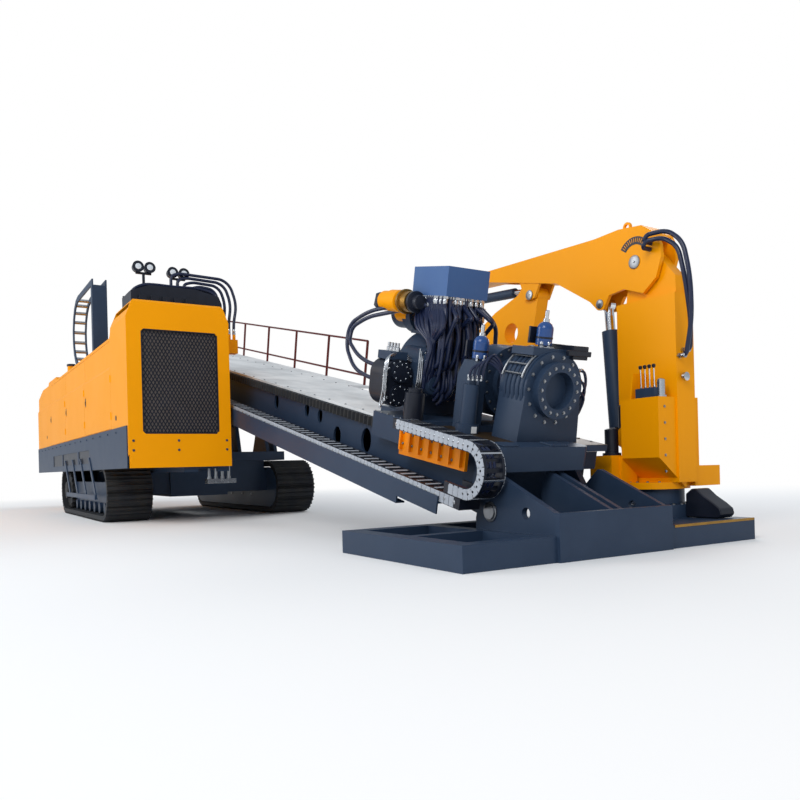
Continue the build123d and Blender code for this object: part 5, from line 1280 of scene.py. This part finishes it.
@dataclass
class PhotoCamera:
    """The camera that the photograph was taken with, fitted to its straight edges."""

    at: Point = (9651.0, -3690.0, 701.0)
    yaw: float = 0.556
    roll: float = 0.026
    lens_mm: float = 33.93
    sensor_mm: float = 36.0
    shift_y: float = 0.083
    clip: Pair = (0.1, 300.0)

    def build(self) -> None:
        """Place the camera where the photograph was taken from."""
        ahead = Vector((-math.cos(self.yaw), math.sin(self.yaw), 0.0))
        right = Vector((math.sin(self.yaw), math.cos(self.yaw), 0.0))
        up = Vector(UP)
        turned_right = right * math.cos(self.roll) - up * math.sin(self.roll)
        turned_up = up * math.cos(self.roll) + right * math.sin(self.roll)
        lens = bpy.data.cameras.new("camera")
        lens.lens = self.lens_mm
        lens.sensor_width = self.sensor_mm
        lens.shift_y = self.shift_y
        lens.clip_start, lens.clip_end = self.clip
        camera = placed("camera", lens)
        turn = Matrix((turned_right, turned_up, -ahead)).transposed().to_4x4()
        camera.matrix_world = Matrix.Translation(Vector(MACHINE.metres(np.array(self.at)))) @ turn
        bpy.context.scene.camera = camera


@dataclass
class Studio:
    """Pale floor that fades to white, white surroundings and soft light."""

    floor_reach: float = 250.0
    floor_colour: str = "F4F4F4"
    floor_roughness: float = 0.85
    fade: Pair = (7.0, 15.0)
    fill_colour: str = "E6EDF5"
    fill_strength: float = 0.62
    aim: Point = (0, 0, 1.5)
    # Each light's name, place in metres, side in metres and power in watts
    lights: tuple[tuple[str, Point, float, float], ...] = (
        ("key_light", (13.0, -12.0, 11.0), 8.0, 1550.0),
        ("side_light", (-6.0, -14.0, 8.0), 9.0, 900.0),
        ("back_light", (-4.0, 13.0, 10.0), 9.0, 900.0),
    )

    def build(self) -> None:
        """Make floor, surroundings and lights."""
        self.floor()
        self.surroundings()
        for light in self.lights:
            self.soft_light(*light)
        bpy.context.scene.view_settings.view_transform = "Standard"
        bpy.context.scene.view_settings.look = "None"

    def floor(self) -> None:
        """Floor that turns into plain white away from the machine."""
        material = bpy.data.materials.new("pale_floor")
        material.use_nodes = True
        tree = material.node_tree
        matt = {"Base Color": linear(self.floor_colour), "Roughness": self.floor_roughness}
        shader = feed(tree, tree.nodes["Principled BSDF"], matt)
        place = tree.nodes.new("ShaderNodeTexCoord")
        distance = node(tree, "ShaderNodeVectorMath", {0: place.outputs["Object"]})
        distance.operation = "LENGTH"
        span = {"From Min": self.fade[0], "From Max": self.fade[1], "Value": distance.outputs["Value"]}
        fade = node(tree, "ShaderNodeMapRange", span)
        fade.interpolation_type = "SMOOTHSTEP"
        bright = node(tree, "ShaderNodeEmission", {"Color": WHITE})
        ends = {"Fac": fade.outputs["Result"], 1: shader.outputs["BSDF"], 2: bright.outputs["Emission"]}
        blend = node(tree, "ShaderNodeMixShader", ends)
        feed(tree, tree.nodes["Material Output"], {"Surface": blend.outputs["Shader"]})
        mesh = bpy.data.meshes.new("floor")
        reach = self.floor_reach
        corners = [(-reach, -reach, 0), (reach, -reach, 0), (reach, reach, 0), (-reach, reach, 0)]
        mesh.from_pydata(corners, [], [(0, 1, 2, 3)])
        mesh.materials.append(material)
        floor = placed("floor", mesh)

    def surroundings(self) -> None:
        """White to the camera, a bluish fill to everything else."""
        world = bpy.data.worlds.new("studio")
        bpy.context.scene.world = world
        world.use_nodes = True
        tree = world.node_tree
        tree.nodes.clear()
        path = tree.nodes.new("ShaderNodeLightPath").outputs
        seen = node(tree, "ShaderNodeMath", {0: path["Is Camera Ray"], 1: path["Is Transmission Ray"]})
        seen.operation = "MAXIMUM"
        white = node(tree, "ShaderNodeBackground", {"Color": WHITE, "Strength": 1.0})
        soft = {"Color": linear(self.fill_colour), "Strength": self.fill_strength}
        fill = node(tree, "ShaderNodeBackground", soft)
        choice = {"Fac": seen.outputs[0], 1: fill.outputs[0], 2: white.outputs[0]}
        choose = node(tree, "ShaderNodeMixShader", choice)
        node(tree, "ShaderNodeOutputWorld", {"Surface": choose.outputs[0]})

    def soft_light(self, name: str, at: Point, size: float, power: float) -> None:
        """Large square area light that faces the machine's middle.

        Args:
            name: the light's name.
            at: its place, in metres.
            size: its side, in metres.
            power: its power, in watts.
        """
        lamp = bpy.data.lights.new(name, "AREA")
        lamp.size = size
        lamp.energy = power
        light = placed(name, lamp)
        light.location = at
        light.rotation_mode = "QUATERNION"
        light.rotation_quaternion = (Vector(self.aim) - Vector(at)).to_track_quat("-Z", "Y")


def main() -> None:
    """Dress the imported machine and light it."""
    logging.basicConfig(level=logging.INFO)
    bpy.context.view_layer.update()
    dress_frame(frame["nodes"], frame["record"])
    for group in (EngineHouse(), Crawlers(), DrillFrame(), PowerHead(), Vises(), Anchor(), Crane()):
        group.build()
    Studio().build()
    PhotoCamera().build()


if __name__ == "__main__":
    main()
